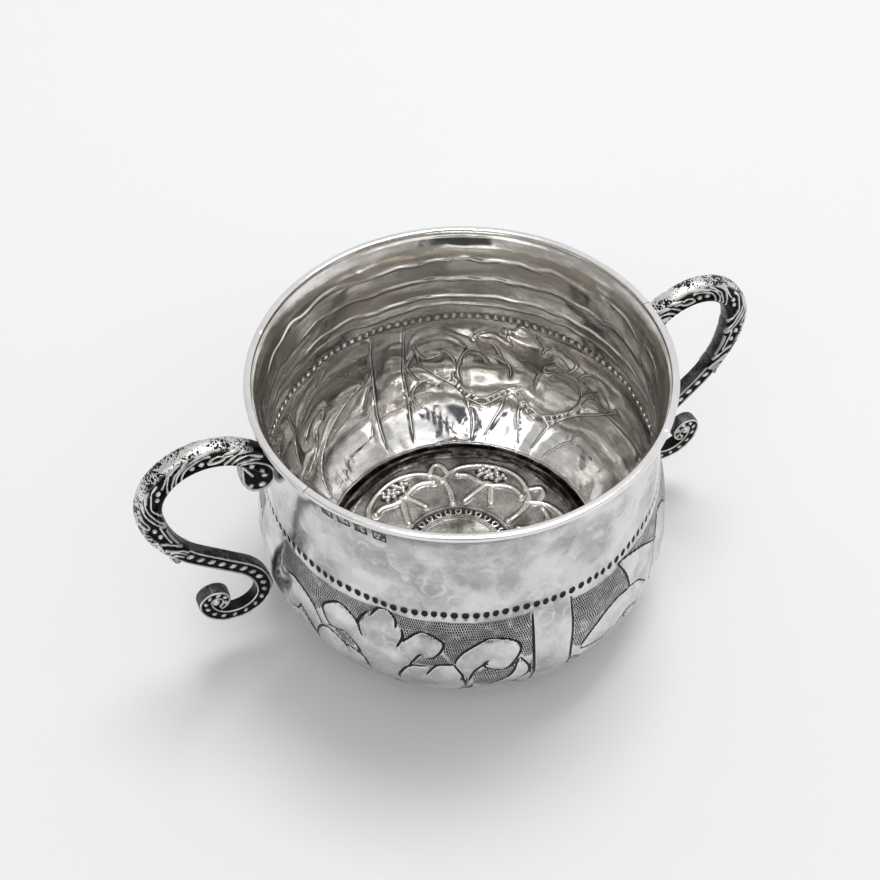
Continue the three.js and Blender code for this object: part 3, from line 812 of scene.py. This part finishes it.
# Base plate: a round disc let into the open bottom of the bowl, worked with a scrolling vine whose berries
# fill each turn, round a ring of loops between rope lines. Its edge turns up in a cove that holds tarnish.
plate_edge = 39.0
plate_lip_top = 5.0
plate_floor = 2.8
plate_lip_width = 0.8
cove_width = 1.5
hub_radius = 0.5
plate_bottom = ledge_height + 0.02
ring_middle = 15.0
ring_centre = (-0.7, 0.3)
rope_radii = (12.9, 13.8, 17.0)
rope_relief = 0.42
loop_count = 30
loop_relief = 0.45
vine_turns = 6
vine_shift = 12
vine_half_width = 1.25
vine_relief = 0.55

# Each line is degrees round from the middle of one turn of the vine, and millimetres from the centre.
plate_vine = [
    [(30.2, 27.2), (24.8, 30.2), (18.5, 32.4), (9.2, 33.8), (0, 34.3), (-8.9, 34.1), (-17.3, 32.9),
     (-25.6, 30.4), (-31.1, 27.5), (-33.5, 23.6), (-34.5, 19.8), (-34.6, 18.4)],
    [(19.7, 29.6), (13.4, 29.3), (6.2, 27.3), (-2.2, 26.9), (-10.6, 28.4), (-17.5, 28.8), (-24.2, 27.9)],
    [(0, 27.4), (6.8, 22.7), (14.2, 19.2)],
    [(-3.5, 26.1), (-9.4, 20.2)],
    [(-23.3, 30.7), (-26.2, 33.1), (-28.7, 34.5), (-32.1, 33.4), (-34.7, 30.3)],
]
plate_buds = [(-34.6, 18.2), (19.9, 29.6), (-24.4, 27.9)]
bud_radius, bud_relief = 1.7, 0.8
berry_place = (-0.5, 31.0)
berry_count = 17
berry_radius, berry_relief = 0.82, 0.9
bunch_half_size = (2.3, 5.0)
bunch_ground = (2.6, 5.4)
seed_swing = 2.4


def round_place(turn, radius):
    return np.stack([radius * np.cos(np.radians(turn)), radius * np.sin(np.radians(turn))], -1)


def ridge(distance, half_width):
    """A rounded ridge, one at its middle and nought from its edge outwards."""
    return np.sqrt(np.clip(1 - (distance / half_width) ** 2, 0, 1))


def soft_ridge(distance, half_width):
    """A ridge that rises gently from the ground at both sides."""
    return 0.5 + 0.5 * np.cos(np.pi * np.clip(distance / half_width, 0, 1))


def path_distance(places, path, reach):
    """Distance from each place to a path of short straight steps, up to a reach."""
    nearest = np.full(len(places), float(reach))
    close = places_near(places, path, reach)
    chosen, best = places[close], nearest[close]
    for start, end in zip(path[:-1], path[1:]):
        run = end - start
        along = np.clip(((chosen - start) @ run) / max(run @ run, 1e-12), 0, 1)
        best = np.minimum(best, np.linalg.norm(chosen - start - along[:, None] * run, axis=1))
    nearest[close] = best
    return nearest


def plate_profile():
    """Radii and heights from the middle of the underside, up the edge, down the cove and in to the middle."""
    lip_inner = plate_edge - plate_lip_width
    cove = [(lip_inner - cove_width * t, plate_floor + (plate_lip_top - plate_floor) * (1 - t) ** 2.6)
            for t in np.linspace(0, 1, 9)]
    top = [(radius, plate_floor) for radius in np.linspace(lip_inner - cove_width - 0.3, hub_radius, 130)]
    return [(hub_radius, plate_bottom), (plate_edge, plate_bottom), (plate_edge, plate_lip_top), *cove, *top]


def ring_relief(places):
    """Open loops between rope lines, in a ring a little off the plate's middle, and the ring's ground."""
    offset = places[:, :2] - ring_centre
    radius = np.hypot(offset[:, 0], offset[:, 1])
    turn = np.degrees(np.arctan2(offset[:, 1], offset[:, 0]))
    across = ((turn * loop_count / 360) % 1 - 0.5) * 2 * math.pi * ring_middle / loop_count
    band = smoothstep(1.35, 1.05, np.abs(radius - 15.2))
    loop = np.abs(np.hypot(across, (radius - 15.1) * 0.9) - 0.85)
    high = loop_relief * ridge(loop, 0.36) * band * (radius < 15.9)
    for rope in rope_radii:
        twist = 0.65 + 0.35 * np.cos(np.radians(turn) * rope * 9)
        high = np.maximum(high, rope_relief * twist * ridge(np.abs(radius - rope), 0.34))
    return high, band


def berry_bunch(flat, relief, band):
    """Adds a bunch of berries, set round a spiral, and the dark ground that they lie on."""
    centre = round_place(*berry_place)
    from_centre = np.linalg.norm((flat - centre) / bunch_ground, axis=1)
    band = np.maximum(band, 0.75 * smoothstep(1.15, 0.9, from_centre))
    for i in range(berry_count):
        swing = i * seed_swing
        reach = math.sqrt((i + 0.5) / berry_count)
        seed = centre + reach * np.array(bunch_half_size) * (math.cos(swing), math.sin(swing))
        relief = np.maximum(relief, berry_relief * ridge(np.linalg.norm(flat - seed, axis=1), berry_radius))
    return relief, band


def worked_plate():
    made = turned_sheet("worked_plate", plate_profile(), 600)
    places = corner_places(made)
    radius = np.hypot(places[:, 0], places[:, 1])
    on_top = (places[:, 2] > plate_floor - 0.01) & (radius < plate_edge - plate_lip_width - cove_width)
    period = 360 / vine_turns
    turn = np.degrees(np.arctan2(places[:, 1], places[:, 0])) + vine_shift
    turn = (turn + period / 2) % period - period / 2
    relief, band = ring_relief(places)
    for shift in (-period, 0, period):
        flat = round_place(turn + shift, radius)
        for line in plate_vine:
            path = smooth_line(round_place(*np.array(line, float).T), 5)
            stem = soft_ridge(path_distance(flat, path, 1.4), vine_half_width) ** 0.65
            relief = np.maximum(relief, vine_relief * stem)
        for bud in plate_buds:
            away = np.linalg.norm(flat - round_place(*bud), axis=1)
            relief = np.maximum(relief, bud_relief * soft_ridge(away, bud_radius))
        relief, band = berry_bunch(flat, relief, band)
    unevenness = waves(places, 12, 12) * 0.08 + waves(places, 5, 13) * 0.03
    places[:, 2] += np.where(on_top, relief - 0.18 * band + unevenness - 0.12, 0)
    move_corners(made, places)
    keep_value(made, "relief", np.where(on_top, relief / vine_relief, 0))
    keep_value(made, "band", np.where(on_top, band, 0))
    keep_value(made, "cove", smoothstep(35.9, 37.0, radius) * (places[:, 2] > 2))
    return made


def plate_look(tree, vector):
    high = ramp(tree, kept_value(tree, "relief"), 0.25, 0.9)
    ground = ramp(tree, kept_value(tree, "band"), 0.2, 0.8, 0.44, 0.1)
    x, y = place_parts(tree, vector)[:2]
    distance = math_node(tree, "SQRT", x * x + y * y)
    round_and_out = add_node(tree, "ShaderNodeCombineXYZ", {0: turn_of(x, y) * 0.004, 1: distance})
    streaks = noise(tree, round_and_out.outputs[0], 1300.0, 3.0)
    dark = kept_value(tree, "cove") * ramp(tree, streaks, 0.36, 0.6, 0.5, 0.05)
    polish = (mix_value(tree, high, ground, 1.0) - dark).clamped()
    return {"Silver": (0.78, 0.76, 0.73, 1), "Tarnish": (0.185, 0.17, 0.15, 1), "Cloud Scale": 80.0,
            "Polish": polish, "Tarnish Amount": 1.0 - high * 0.8, "Smoothest": 0.16, "Roughest": 0.42}


plate = worked_plate()
plate.data.materials.append(silver_material("tarnished_plate", plate_look, grain=0.015))
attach(plate, "root")
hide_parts("base_plate")

# Handles: a pair of scrolls cast in silver and soldered on under the rim and at the belly. The arch has a
# plain pitted back above sprays of long leaves, the strap below is channelled and beaded, and both ends
# curl into volutes. Black is left in the hollows and rubbed off the leaves, beads and edges.
seat_gap = 0.3
arch_depth, arch_width = 3.3, 3.2
arch_end_depth, arch_end_width = 2.6, 2.7
arch_top = cup_height + 1.5 - arch_depth
root_length, root_slope, rise_radius = 7.2, 45, 16.0
shoulder_radius, fall_radius, fall_turn = 15.05, 30.0, 32.4
leaf_lap, tuck = 0.8, 1.1
strap_depth, strap_width, strap_lean = 2.3, 2.05, 45.7
strap_length, bend_radius, curl_radius, eye_radius = 13.5, 14.75, 8.2, 2.8
eye_depth, boss_radius, boss_stand = 1.05, 1.5, 0.35
curl_turn, eye_turn = 180, 255
carving_depth, channel_depth = 0.85, 0.6
arch_taper_length, eye_start_depth = 17.8, 1.95
inner_face_polish = 0.28
slope = math.radians(root_slope)
root_height = arch_top - root_length * math.sin(slope) - rise_radius * (1 - math.cos(slope))

# The lines of the carved leaves, as millimetres along the arch and out from its middle.
leaf_lines = [
    [(0, -0.3), (2.1, 0.45), (3.75, 0.5), (5.8, 0.15), (7.1, -0.4), (8.3, -1.2), (9.2, -2.05), (8.3, -3.1)],
    [(5.5, 1.5), (6.9, 1.1), (8.1, 0), (9.2, -0.8), (10.2, -1.6), (10, -2.5), (8.3, -3.1)],
    [(5.2, 2.4), (7.9, 2.1), (9, 1.7), (9.8, 1.1), (10.6, 0.25), (11.25, -0.6), (11.7, -1.4), (11.7, -2.5)],
    [(8.4, 2.9), (9.8, 2.6), (10.8, 2.3), (11.7, 1.5), (12.5, 0.25), (13.3, -1), (13.9, -2.05), (13.3, -2.9)],
    [(11.25, 2.9), (12.9, 2.3), (14.4, 1.9), (15, 1.1)],
    [(12.7, 1.4), (14.2, 0.8), (14.6, 0), (15.8, -0.7), (17.1, -0.9), (18.3, -0.7), (17.9, 0),
     (17.5, 0.45), (16.9, 1), (16, 1.3), (15, 1.1)],
    [(17.9, 2.0), (20, 1.6), (22.1, 0.97), (23.75, 0.35), (25, -0.6), (26, -1.6), (26.7, -2.9)],
    [(18.1, 2.75), (20.2, 2.4), (22.3, 1.9), (24, 1.2), (25.4, 0.45), (26.9, -0.6), (28.1, -1.85),
     (29.2, -3.1)],
    [(22.5, 2.6), (23.75, 2.1), (25, 1.3), (26.5, 0.66), (27.7, -0.4), (29.2, -1.4), (30.4, -2.7),
     (31, -3.1)],
    [(24, 2.85), (26, 2.5), (27.3, 1.7), (28.3, 0.87), (29.6, -0.2), (30.6, -1.1), (31.6, -1.9),
     (32.3, -2.8)],
    [(26.9, 2.75), (28.1, 1.7), (29.8, 0.66), (31, 0.25)],
    [(31, 2.1), (32.7, 1.9), (34.3, 1.2), (36, 0.55), (37.7, 0.1), (38.9, -0.7), (40, -1.7), (41.2, -2.6),
     (42.7, -3.1)],
    [(33.1, 2.85), (35.2, 2.4), (36.8, 1.8), (38.3, 0.97), (39.75, 0.15), (41, -0.7), (42.7, -1.5),
     (44.3, -2.25), (45.6, -2.7), (47.25, -2.8)],
    [(36, 3.0), (37.9, 2.3), (39.3, 1.6), (40.8, 0.76), (42.25, -0.07), (43.7, -0.9), (45.2, -1.7),
     (46.8, -2.6)],
    [(39.3, 2.95), (40.8, 2.4), (41.8, 1.8), (42.7, 1.2), (43.5, 0.87), (44.3, 0.76), (44.75, 1.2),
     (44.3, 1.8), (43.5, 2.2), (42.5, 2.85)],
    [(46, -1.5), (50, -1.6), (53.5, -1.5)],
    [(48.5, -2.6), (52, -2.45), (56, -2.4)],
    [(52, 0.97), (52.9, -0.07), (54.1, -0.9), (55.4, -1.5), (56.6, -1.95), (57.9, -2.2)],
    [(55, 1.8), (55.6, 0.97), (56.6, 0.35), (57.9, -0.5), (58.9, -1.3), (60.2, -1.5), (61, -1.7)],
    [(57, 1.2), (58, -0.1), (59.4, -0.7), (61, -0.9)],
    [(58.6, 1.6), (59.4, 0.6), (61, 0.1)],
]
leaf_half_width = 0.32

# The cast beads of the arch and the edge of its plain back, in the same measures.
paired_beads = [(19.9, -0.28), (22.3, -0.28), (32.8, 0), (34.85, -0.7), (46.4, 0), (49.4, -0.5),
                (2.3, -1.9), (5.7, -1.4)]
paired_bead_size = (0.85, 0.72)
back_edge = [(0, 2.75), (43, 2.85), (44.5, 2.35), (45.6, 1.8), (47, 1.5), (48.7, 1.3), (50.4, 0.87),
             (52, 0.8), (56, 1.6), (61, 1.9)]

# How many beads have passed at each distance along the strap, and how the long beads slant.
bead_places = [(-2.7, -2), (4.3, 0), (28.6, 7), (57.1, 16), (67, 20), (75, 23.5)]
bead_slant = (0.82, 0.57)
bead_length, bead_breadth = 1.2, 0.82
first_bead_start = 3.2
fillet_width = 0.5
side_share = 0.93


def scroll_path(start, heading, arcs, spacing):
    """Places, headings and distances along a chain of arcs. A zero turn is a straight length."""
    places, headings, travelled = [np.array(start)[None]], [np.array([heading])], [np.zeros(1)]
    for size, turn in arcs:
        turn = math.radians(turn)
        length = size * abs(turn) if turn else size
        steps = max(2, round(length / spacing))
        share = np.linspace(0, 1, steps + 1)[1:]
        chord = length * share * (np.sinc(turn * share / 2 / math.pi))
        middle = headings[-1][-1] + turn * share / 2
        places.append(places[-1][-1] + chord[:, None] * np.stack([np.cos(middle), np.sin(middle)], -1))
        headings.append(headings[-1][-1] + turn * share)
        travelled.append(travelled[-1][-1] + length * share)
    return np.vstack(places), np.concatenate(headings), np.concatenate(travelled)


def rounded_outline(exponent, side_steps, face_steps):
    """Half depths and half widths round a bar with soft corners: one side, inner face, other side, back."""
    level = np.linspace(1, -1, side_steps + 1)
    side = np.stack([level, np.ones_like(level)], -1)
    face = np.linspace(1, -1, face_steps + 1)[1:-1]
    inner = np.stack([-np.ones_like(face), face], -1)
    box = np.vstack([side, inner, side[::-1] * [1, -1], inner[::-1] * [-1, 1]])
    return box / (np.abs(box) ** exponent).sum(1)[:, None] ** (1 / exponent)


def arch_surface(travelled, outline):
    """Shapes the arch: its depths and widths, and how far each corner is carved down and rubbed bright."""
    share = smoothstep(0, 1, (travelled - travelled[-1] + arch_taper_length) / arch_taper_length)[:, None]
    depths = arch_depth - (arch_depth - arch_end_depth) * share
    widths = arch_width - (arch_width - arch_end_width) * share
    along = np.broadcast_to(travelled[:, None], (len(travelled), len(outline)))
    out = depths * outline[None, :, 0]
    across = np.abs(widths * outline[None, :, 1])
    places = np.stack([along.ravel(), out.ravel()], -1)
    high = np.zeros(len(places))
    for line in leaf_lines:
        high = np.maximum(high, ridge(path_distance(places, smooth_line(line, 3), 0.8), leaf_half_width))
    for middle, level in paired_beads:
        away = np.linalg.norm((places - (middle, level)) / paired_bead_size, axis=1)
        high = np.maximum(high, ridge(away, 1.0))
    high = high.reshape(along.shape)
    edge = np.interp(along, *np.array(back_edge).T)
    back = smoothstep(edge - 0.25, edge + 0.05, out)
    inner = smoothstep(1.9, 1.4, across) * (out < 0)
    sink = (1 - np.maximum(high, np.maximum(back, inner))) * carving_depth
    # The back is made darker over the few millimetres next to the root.
    root_darkening = smoothstep(9.0, 8.2, along) * back
    polish = np.maximum(high, back * (1 - 0.92 * root_darkening))
    return depths, widths, sink, np.where(inner > high, inner_face_polish, polish), back * (1 - root_darkening)


def strap_surface(travelled, outline):
    """Shapes the beaded strap: a channel along each side between two thin bright fillets."""
    bend_end = tuck + fall_radius * math.radians(strap_lean - fall_turn) + strap_length
    bend_end += bend_radius * math.radians(strap_lean)
    eye_start = travelled[-1] - eye_radius * math.radians(eye_turn)
    thinner = [strap_depth, eye_start_depth, eye_depth]
    depths = np.interp(travelled, [bend_end, eye_start, travelled[-1]], thinner)[:, None]
    widths = np.full_like(depths, strap_width)
    along = np.broadcast_to(travelled[:, None], (len(travelled), len(outline)))
    level = np.broadcast_to(outline[None, :, 0], along.shape)
    count = np.interp(along, *np.array(bead_places).T)
    pitch = 1 / np.gradient(count[:, 0], travelled)[:, None]
    size = np.interp(along, [30, 42], [1.0, 0.72])
    aside, out = (count - np.rint(count)) * pitch, level * depths
    lengthways = (bead_slant[0] * aside - bead_slant[1] * out) / bead_length
    sideways = (bead_slant[1] * aside + bead_slant[0] * out) / bead_breadth
    bead = ridge(np.hypot(lengthways, sideways), size) * (along > first_bead_start)
    fillet = fillet_width / depths
    edge = smoothstep(1 - fillet * 1.5, 1 - fillet, np.abs(level))
    high = np.maximum(edge, bead)
    face = np.abs(outline[None, :, 1]) < 0.8
    sink = np.where(np.abs(outline[None, :, 1]) < side_share, 0, (1 - high) * channel_depth)
    curled = smoothstep(bend_end - 3, bend_end + 1, along)
    upper_face = np.where(level > 0, 0.75 - 0.7 * curled, 0.24)
    return depths, widths, sink, np.where(face, upper_face, high), np.zeros_like(along)


def swept_places(path, outline, depths, widths, sink, sheer):
    """Corners of a bar along a path, carved down by the sink and leaned by the sheer, as rows of places."""
    out = np.broadcast_to(outline[None, :, 0] * depths, sink.shape)
    across = np.broadcast_to(outline[None, :, 1] * widths, sink.shape)
    on_face = np.abs(outline[None, :, 1]) < side_share
    length = np.hypot(out, across)
    out = out * (1 - np.where(on_face & (out > 0), sink / length, 0))
    across = across - np.where(on_face, 0, np.sign(across) * sink)
    x = path[0][:, :1] - np.sin(path[1])[:, None] * out
    z = path[0][:, 1:] + np.cos(path[1])[:, None] * out
    return np.stack([x - sheer * (z - root_height), across, z], -1)


# The closed upper volute's outline and the marks on its sides, as millimetres from the axis and up.
volute_middle = np.array([55.3, 69.5])
volute_outline = [(56.9, 78.2), (53.3, 75.7), (51.9, 72.1), (50.7, 68.5), (50.8, 66.1), (52.3, 63.9),
                  (54.4, 63.0), (57.1, 63.4), (58.9, 66.1), (59.4, 69.6), (59.2, 71.9), (59.0, 74.2),
                  (59.9, 77.0)]
volute_spike = [(59.2, 75.3), (57.9, 72.6), (56.6, 69.8)]
volute_beads = [(56.8, 73.8, 0.8), (54.9, 71.4, 0.9), (53.6, 68.7, 0.95), (54.6, 65.5, 1.0),
                (57.4, 66.2, 0.75)]
volute_width = 2.3

# The cushion of solder at the belly and the bud over the joint of arch and strap, as half sizes.
pad_half_size = (0.9, 1.5, 2.6)
bud_half_size = (2.6, 2.1, 1.4)
solder_cushion = 0.3


def volute_places(unit):
    """Turns a unit ball, its poles to the sides, into the upper volute with its carved sides."""
    swing = np.arctan2(unit[:, 2], unit[:, 0])
    corners = np.array(volute_outline) - volute_middle
    angles = np.arctan2(corners[:, 1], corners[:, 0])
    order = np.argsort(angles)
    reach = np.interp(swing, angles[order], np.hypot(*corners.T)[order], period=2 * math.pi)
    out = np.hypot(unit[:, 0], unit[:, 2])
    soft = (out ** 6 + np.abs(unit[:, 1]) ** 6) ** (1 / 6)
    share, across = out / soft, unit[:, 1] / soft
    flat = volute_middle + (share * reach)[:, None] * np.stack([np.cos(swing), np.sin(swing)], -1)
    high = smoothstep(0.55, 0.25, reach * (0.89 - share))
    high = np.maximum(high, ridge(path_distance(flat, smooth_line(volute_spike, 4), 0.8), 0.45))
    for x, z, size in volute_beads:
        high = np.maximum(high, ridge(np.linalg.norm(flat - (x, z), axis=1), size))
    on_side = np.abs(unit[:, 1]) > out * 0.97
    across = across * volute_width - np.sign(unit[:, 1]) * np.where(on_side, (1 - high) * channel_depth, 0)
    return flat, across, np.where(on_side, high, 0.5)


def handle_paths():
    """The paths of arch and strap, where the strap meets the belly, and the lean that brings it there."""
    start = np.array([wall_radius(root_height) + seat_gap, root_height])
    arch_arcs = [(root_length, 0), (rise_radius, -root_slope), (shoulder_radius, -90),
                 (fall_radius, -fall_turn), (leaf_lap, 0)]
    arch = scroll_path(start, math.radians(root_slope), arch_arcs, 0.2)
    fall_end = int(np.searchsorted(arch[2], arch[2][-1] - leaf_lap))
    heading = arch[1][-1]
    strap_start = arch[0][fall_end] - tuck * np.array([math.cos(heading), math.sin(heading)])
    bend_arcs = [(tuck, 0), (fall_radius, fall_turn - strap_lean), (strap_length, 0),
                 (bend_radius, strap_lean)]
    contact = scroll_path(strap_start, heading, bend_arcs, 0.25)[0][-1]
    curls = [(curl_radius, curl_turn), (eye_radius, eye_turn)]
    strap = scroll_path(strap_start, heading, bend_arcs + curls, 0.25)
    meeting = wall_radius(contact[1]) + seat_gap + 0.1 + strap_depth
    sheer = (meeting - contact[0]) / (root_height - contact[1])
    return arch, strap, contact, sheer


def unit_ball(around, high):
    bm = bmesh.new()
    bmesh.ops.create_uvsphere(bm, u_segments=around, v_segments=high, radius=1)
    return bm


def unit_grid(rows, around):
    bm = bmesh.new()
    bmesh.ops.create_grid(bm, x_segments=rows, y_segments=around, size=1)
    return bm


def joined_shapes(name, meshes):
    """One object made of several plain meshes, and where the corners of each are before they are shaped."""
    whole, shapes = bmesh.new(), []
    for bm in meshes:
        part = bmesh_object("part", bm)
        shapes.append(corner_places(part) * MM)
        whole.from_mesh(part.data)
        bpy.data.meshes.remove(part.data)
    return bmesh_object(name, whole), shapes


def cast_handle(name, turned):
    arch, strap, contact, sheer = handle_paths()
    arch_outline, strap_outline = rounded_outline(2.6, 46, 14), rounded_outline(6, 30, 12)
    arch_grid = unit_grid(len(arch[2]) - 1, len(arch_outline))
    strap_grid = unit_grid(len(strap[2]) - 1, len(strap_outline))
    volute, boss, pad, bud = unit_ball(96, 96), unit_ball(24, 16), unit_ball(24, 16), unit_ball(40, 24)
    made, shapes = joined_shapes(name, (arch_grid, strap_grid, volute, boss, pad, bud))
    places, polish, back = [], [], []

    for unit, path, outline, surface in ((shapes[0], arch, arch_outline, arch_surface),
                                         (shapes[1], strap, strap_outline, strap_surface)):
        i, j = rows_and_columns(unit, len(path[2]) - 1, len(outline))
        j %= len(outline)
        depths, widths, sink, shine, plain = surface(path[2], outline)
        places.append(swept_places(path, outline, depths, widths, sink, sheer)[i, j])
        polish.append(shine[i, j])
        back.append(plain[i, j])

    def leaned(x, y, z):
        return np.stack([x - sheer * (z - root_height), y, z], -1)

    flat, across, shine = volute_places(shapes[2][:, [0, 2, 1]])
    places.append(np.stack([flat[:, 0], across, flat[:, 1]], -1))
    polish.append(shine)

    spot = strap[0][-1] + eye_radius * np.array([-math.sin(strap[1][-1]), math.cos(strap[1][-1])])
    boss_half_size = np.array((boss_radius, strap_width + boss_stand, boss_radius))
    forward, across, upward = shapes[3].T * boss_half_size[:, None]
    places.append(leaned(spot[0] + forward, across, spot[1] + upward))
    polish.append(np.full(len(forward), 0.95))

    forward, across, upward = shapes[4].T * np.array(pad_half_size)[:, None]
    places.append(leaned(contact[0] - strap_depth + solder_cushion + forward, across, contact[1] + upward))
    polish.append(np.full(len(forward), 0.45))

    lap = int(np.searchsorted(strap[2], tuck + leaf_lap))
    heading = strap[1][lap]
    spot = strap[0][lap] + (strap_depth + solder_cushion) * np.array([-math.sin(heading), math.cos(heading)])
    x, y, z = shapes[5].T
    lobes = 0.78 + 0.22 * np.cos(5 * np.arctan2(y, x))
    grooves = 0.5 + 0.5 * np.cos(y * 11)
    forward = x * bud_half_size[0] * lobes
    out = z * bud_half_size[2] * (0.8 + 0.2 * grooves)
    places.append(leaned(spot[0] + forward * math.cos(heading) - out * math.sin(heading),
                         y * bud_half_size[1] * lobes,
                         spot[1] + forward * math.sin(heading) + out * math.cos(heading)))
    polish.append(0.2 + 0.8 * grooves)

    back += [np.zeros(len(ball)) for ball in shapes[2:]]
    places = np.vstack(places)
    distance = np.hypot(places[:, 0], places[:, 1])
    rim_reach = rim_inner_radius + rim_width + seat_gap
    clear = np.where(places[:, 2] > wall_top - seat_gap, rim_reach, wall_radius(places[:, 2]) + seat_gap)
    places[:, :2] *= (np.maximum(distance, clear) / distance)[:, None]
    move_corners(made, places * ([-1, -1, 1] if turned else [1, 1, 1]))
    keep_value(made, "polish", np.concatenate(polish))
    keep_value(made, "back", np.concatenate(back))
    close_mesh(made)
    return made


def handle_look(tree, vector):
    back = kept_value(tree, "back")
    from_pit = Value(tree, cells(tree, vector, 1800.0).outputs["Distance"])
    pit_size = ramp(tree, noise(tree, vector, 260.0, 4.0), 0.35, 0.62, 0.09, 0.64)
    whole = greatest(ramp(tree, from_pit - pit_size, -0.08, 0.1), 1.0 - back).clamped()
    mottled = ramp(tree, noise(tree, vector, 420.0, 5.0), 0.34, 0.62, 0.62, 1.1)
    polish = kept_value(tree, "polish") * whole * mottled
    return {"Silver": (0.84, 0.83, 0.81, 1), "Tarnish": (0.50, 0.475, 0.44, 1),
            "Oxide": (0.016, 0.014, 0.013, 1), "Cloud Scale": 160.0, "Polish": polish,
            "Tarnish Amount": 0.5, "Smoothest": 0.2, "Roughest": 0.5, "Height": whole * 0.12}


handle_silver = silver_material("oxidised_casting", handle_look, grain=0.05)
for name, node, turned in (("cast_handle_right", "handle_right", False),
                           ("cast_handle_left", "handle_left", True)):
    handle = cast_handle(name, turned)
    handle.data.materials.append(handle_silver)
    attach(handle, "root")
    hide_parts(node)

# Table: a plain pale ground that carries the cup's soft shadow.
table_half_size = 3.0
table_colour = (0.735, 0.735, 0.74, 1)
table_bm = bmesh.new()
bmesh.ops.create_grid(table_bm, x_segments=1, y_segments=1, size=table_half_size)
table = bmesh_object("pale_table", table_bm)
table_look = new_material("pale_table")
finish_surface(table_look.node_tree, {"Base Color": table_colour, "Roughness": 0.8})
table.data.materials.append(table_look)

# Studio light: a plain room that grows brighter to the back right. High over the camera is a bright patch
# for the silver to mirror, with a dark one in it, and behind the camera is another dark one. The camera
# itself sees a pale background. One high softbox at the back right gives the shadow.
room_dim, room_bright = (0.5, 0.5, 0.51, 1), (0.78, 0.78, 0.78, 1)
plain_background = (0.92, 0.92, 0.93, 1)
camera_bearing = math.radians(-113)
patch_edge_up, patch_edge_round = 0.02, 0.03

# Each patch has a colour, a lowest and a highest part of the way up, and half its width in radians.
sky_patches = [
    ((1.5, 1.5, 1.5, 1), 0.52, 0.95, 0.9),
    ((0.05, 0.05, 0.05, 1), -0.1, 0.5, 0.26),
    ((0.09, 0.09, 0.12, 1), 0.65, 0.87, 0.27),
]
scene = bpy.context.scene
world = bpy.data.worlds.new("studio")
scene.world = world
world.use_nodes = True
sky = world.node_tree
sky.nodes.clear()
ahead, beside, upward = place_parts(sky, add_node(sky, "ShaderNodeTexCoord").outputs["Generated"])
from_camera_side = abs(turn_of(ahead, beside) - camera_bearing)
to_back_right = ahead * 0.87 + beside * 0.5
room = mix_colour(sky, ramp(sky, to_back_right, -0.7, 0.7), room_dim, room_bright)
for colour, low, high, half_turn in sky_patches:
    patch = ramp(sky, upward, low - patch_edge_up, low) * ramp(sky, upward, high + patch_edge_up, high)
    patch = patch * ramp(sky, from_camera_side, half_turn + patch_edge_round, half_turn)
    room = mix_colour(sky, patch, room, colour)
seen = add_node(sky, "ShaderNodeLightPath").outputs["Is Camera Ray"]
room = mix_colour(sky, seen, room, plain_background)
background = add_node(sky, "ShaderNodeBackground", {"Color": room, "Strength": 1.0})
add_node(sky, "ShaderNodeOutputWorld", {0: background.outputs[0]})

softbox_place = Vector((0.5, 0.45, 2.1))
softbox_target = Vector((0, 0, 0.05))
softbox = bpy.data.lights.new("back_softbox", "AREA")
softbox.shape = "RECTANGLE"
softbox.size, softbox.size_y = 0.9, 0.7
softbox.energy = 24.0
lamp = bpy.data.objects.new("back_softbox", softbox)
lamp.location = softbox_place
lamp.rotation_euler = (softbox_target - softbox_place).to_track_quat("-Z", "Y").to_euler()
scene.collection.objects.link(lamp)

# Camera: where it stands and which ways are right and up in the picture, fitted to the rings of the cup.
camera_place = (-0.086349, -0.188603, 0.292816)
picture_right = Vector((0.91266767, -0.40839026, -0.01597232))
picture_up = Vector((0.31813484, 0.68534619, 0.65505024))
camera = bpy.data.cameras.new("camera")
camera.lens = 48.615
camera.sensor_width = 36
camera.clip_start = 0.01
viewer = bpy.data.objects.new("camera", camera)
viewer.location = camera_place
facing = Matrix((picture_right, picture_up, picture_right.cross(picture_up))).transposed()
viewer.rotation_euler = facing.to_euler()
scene.collection.objects.link(viewer)
scene.camera = viewer
scene.view_settings.view_transform = "Standard"
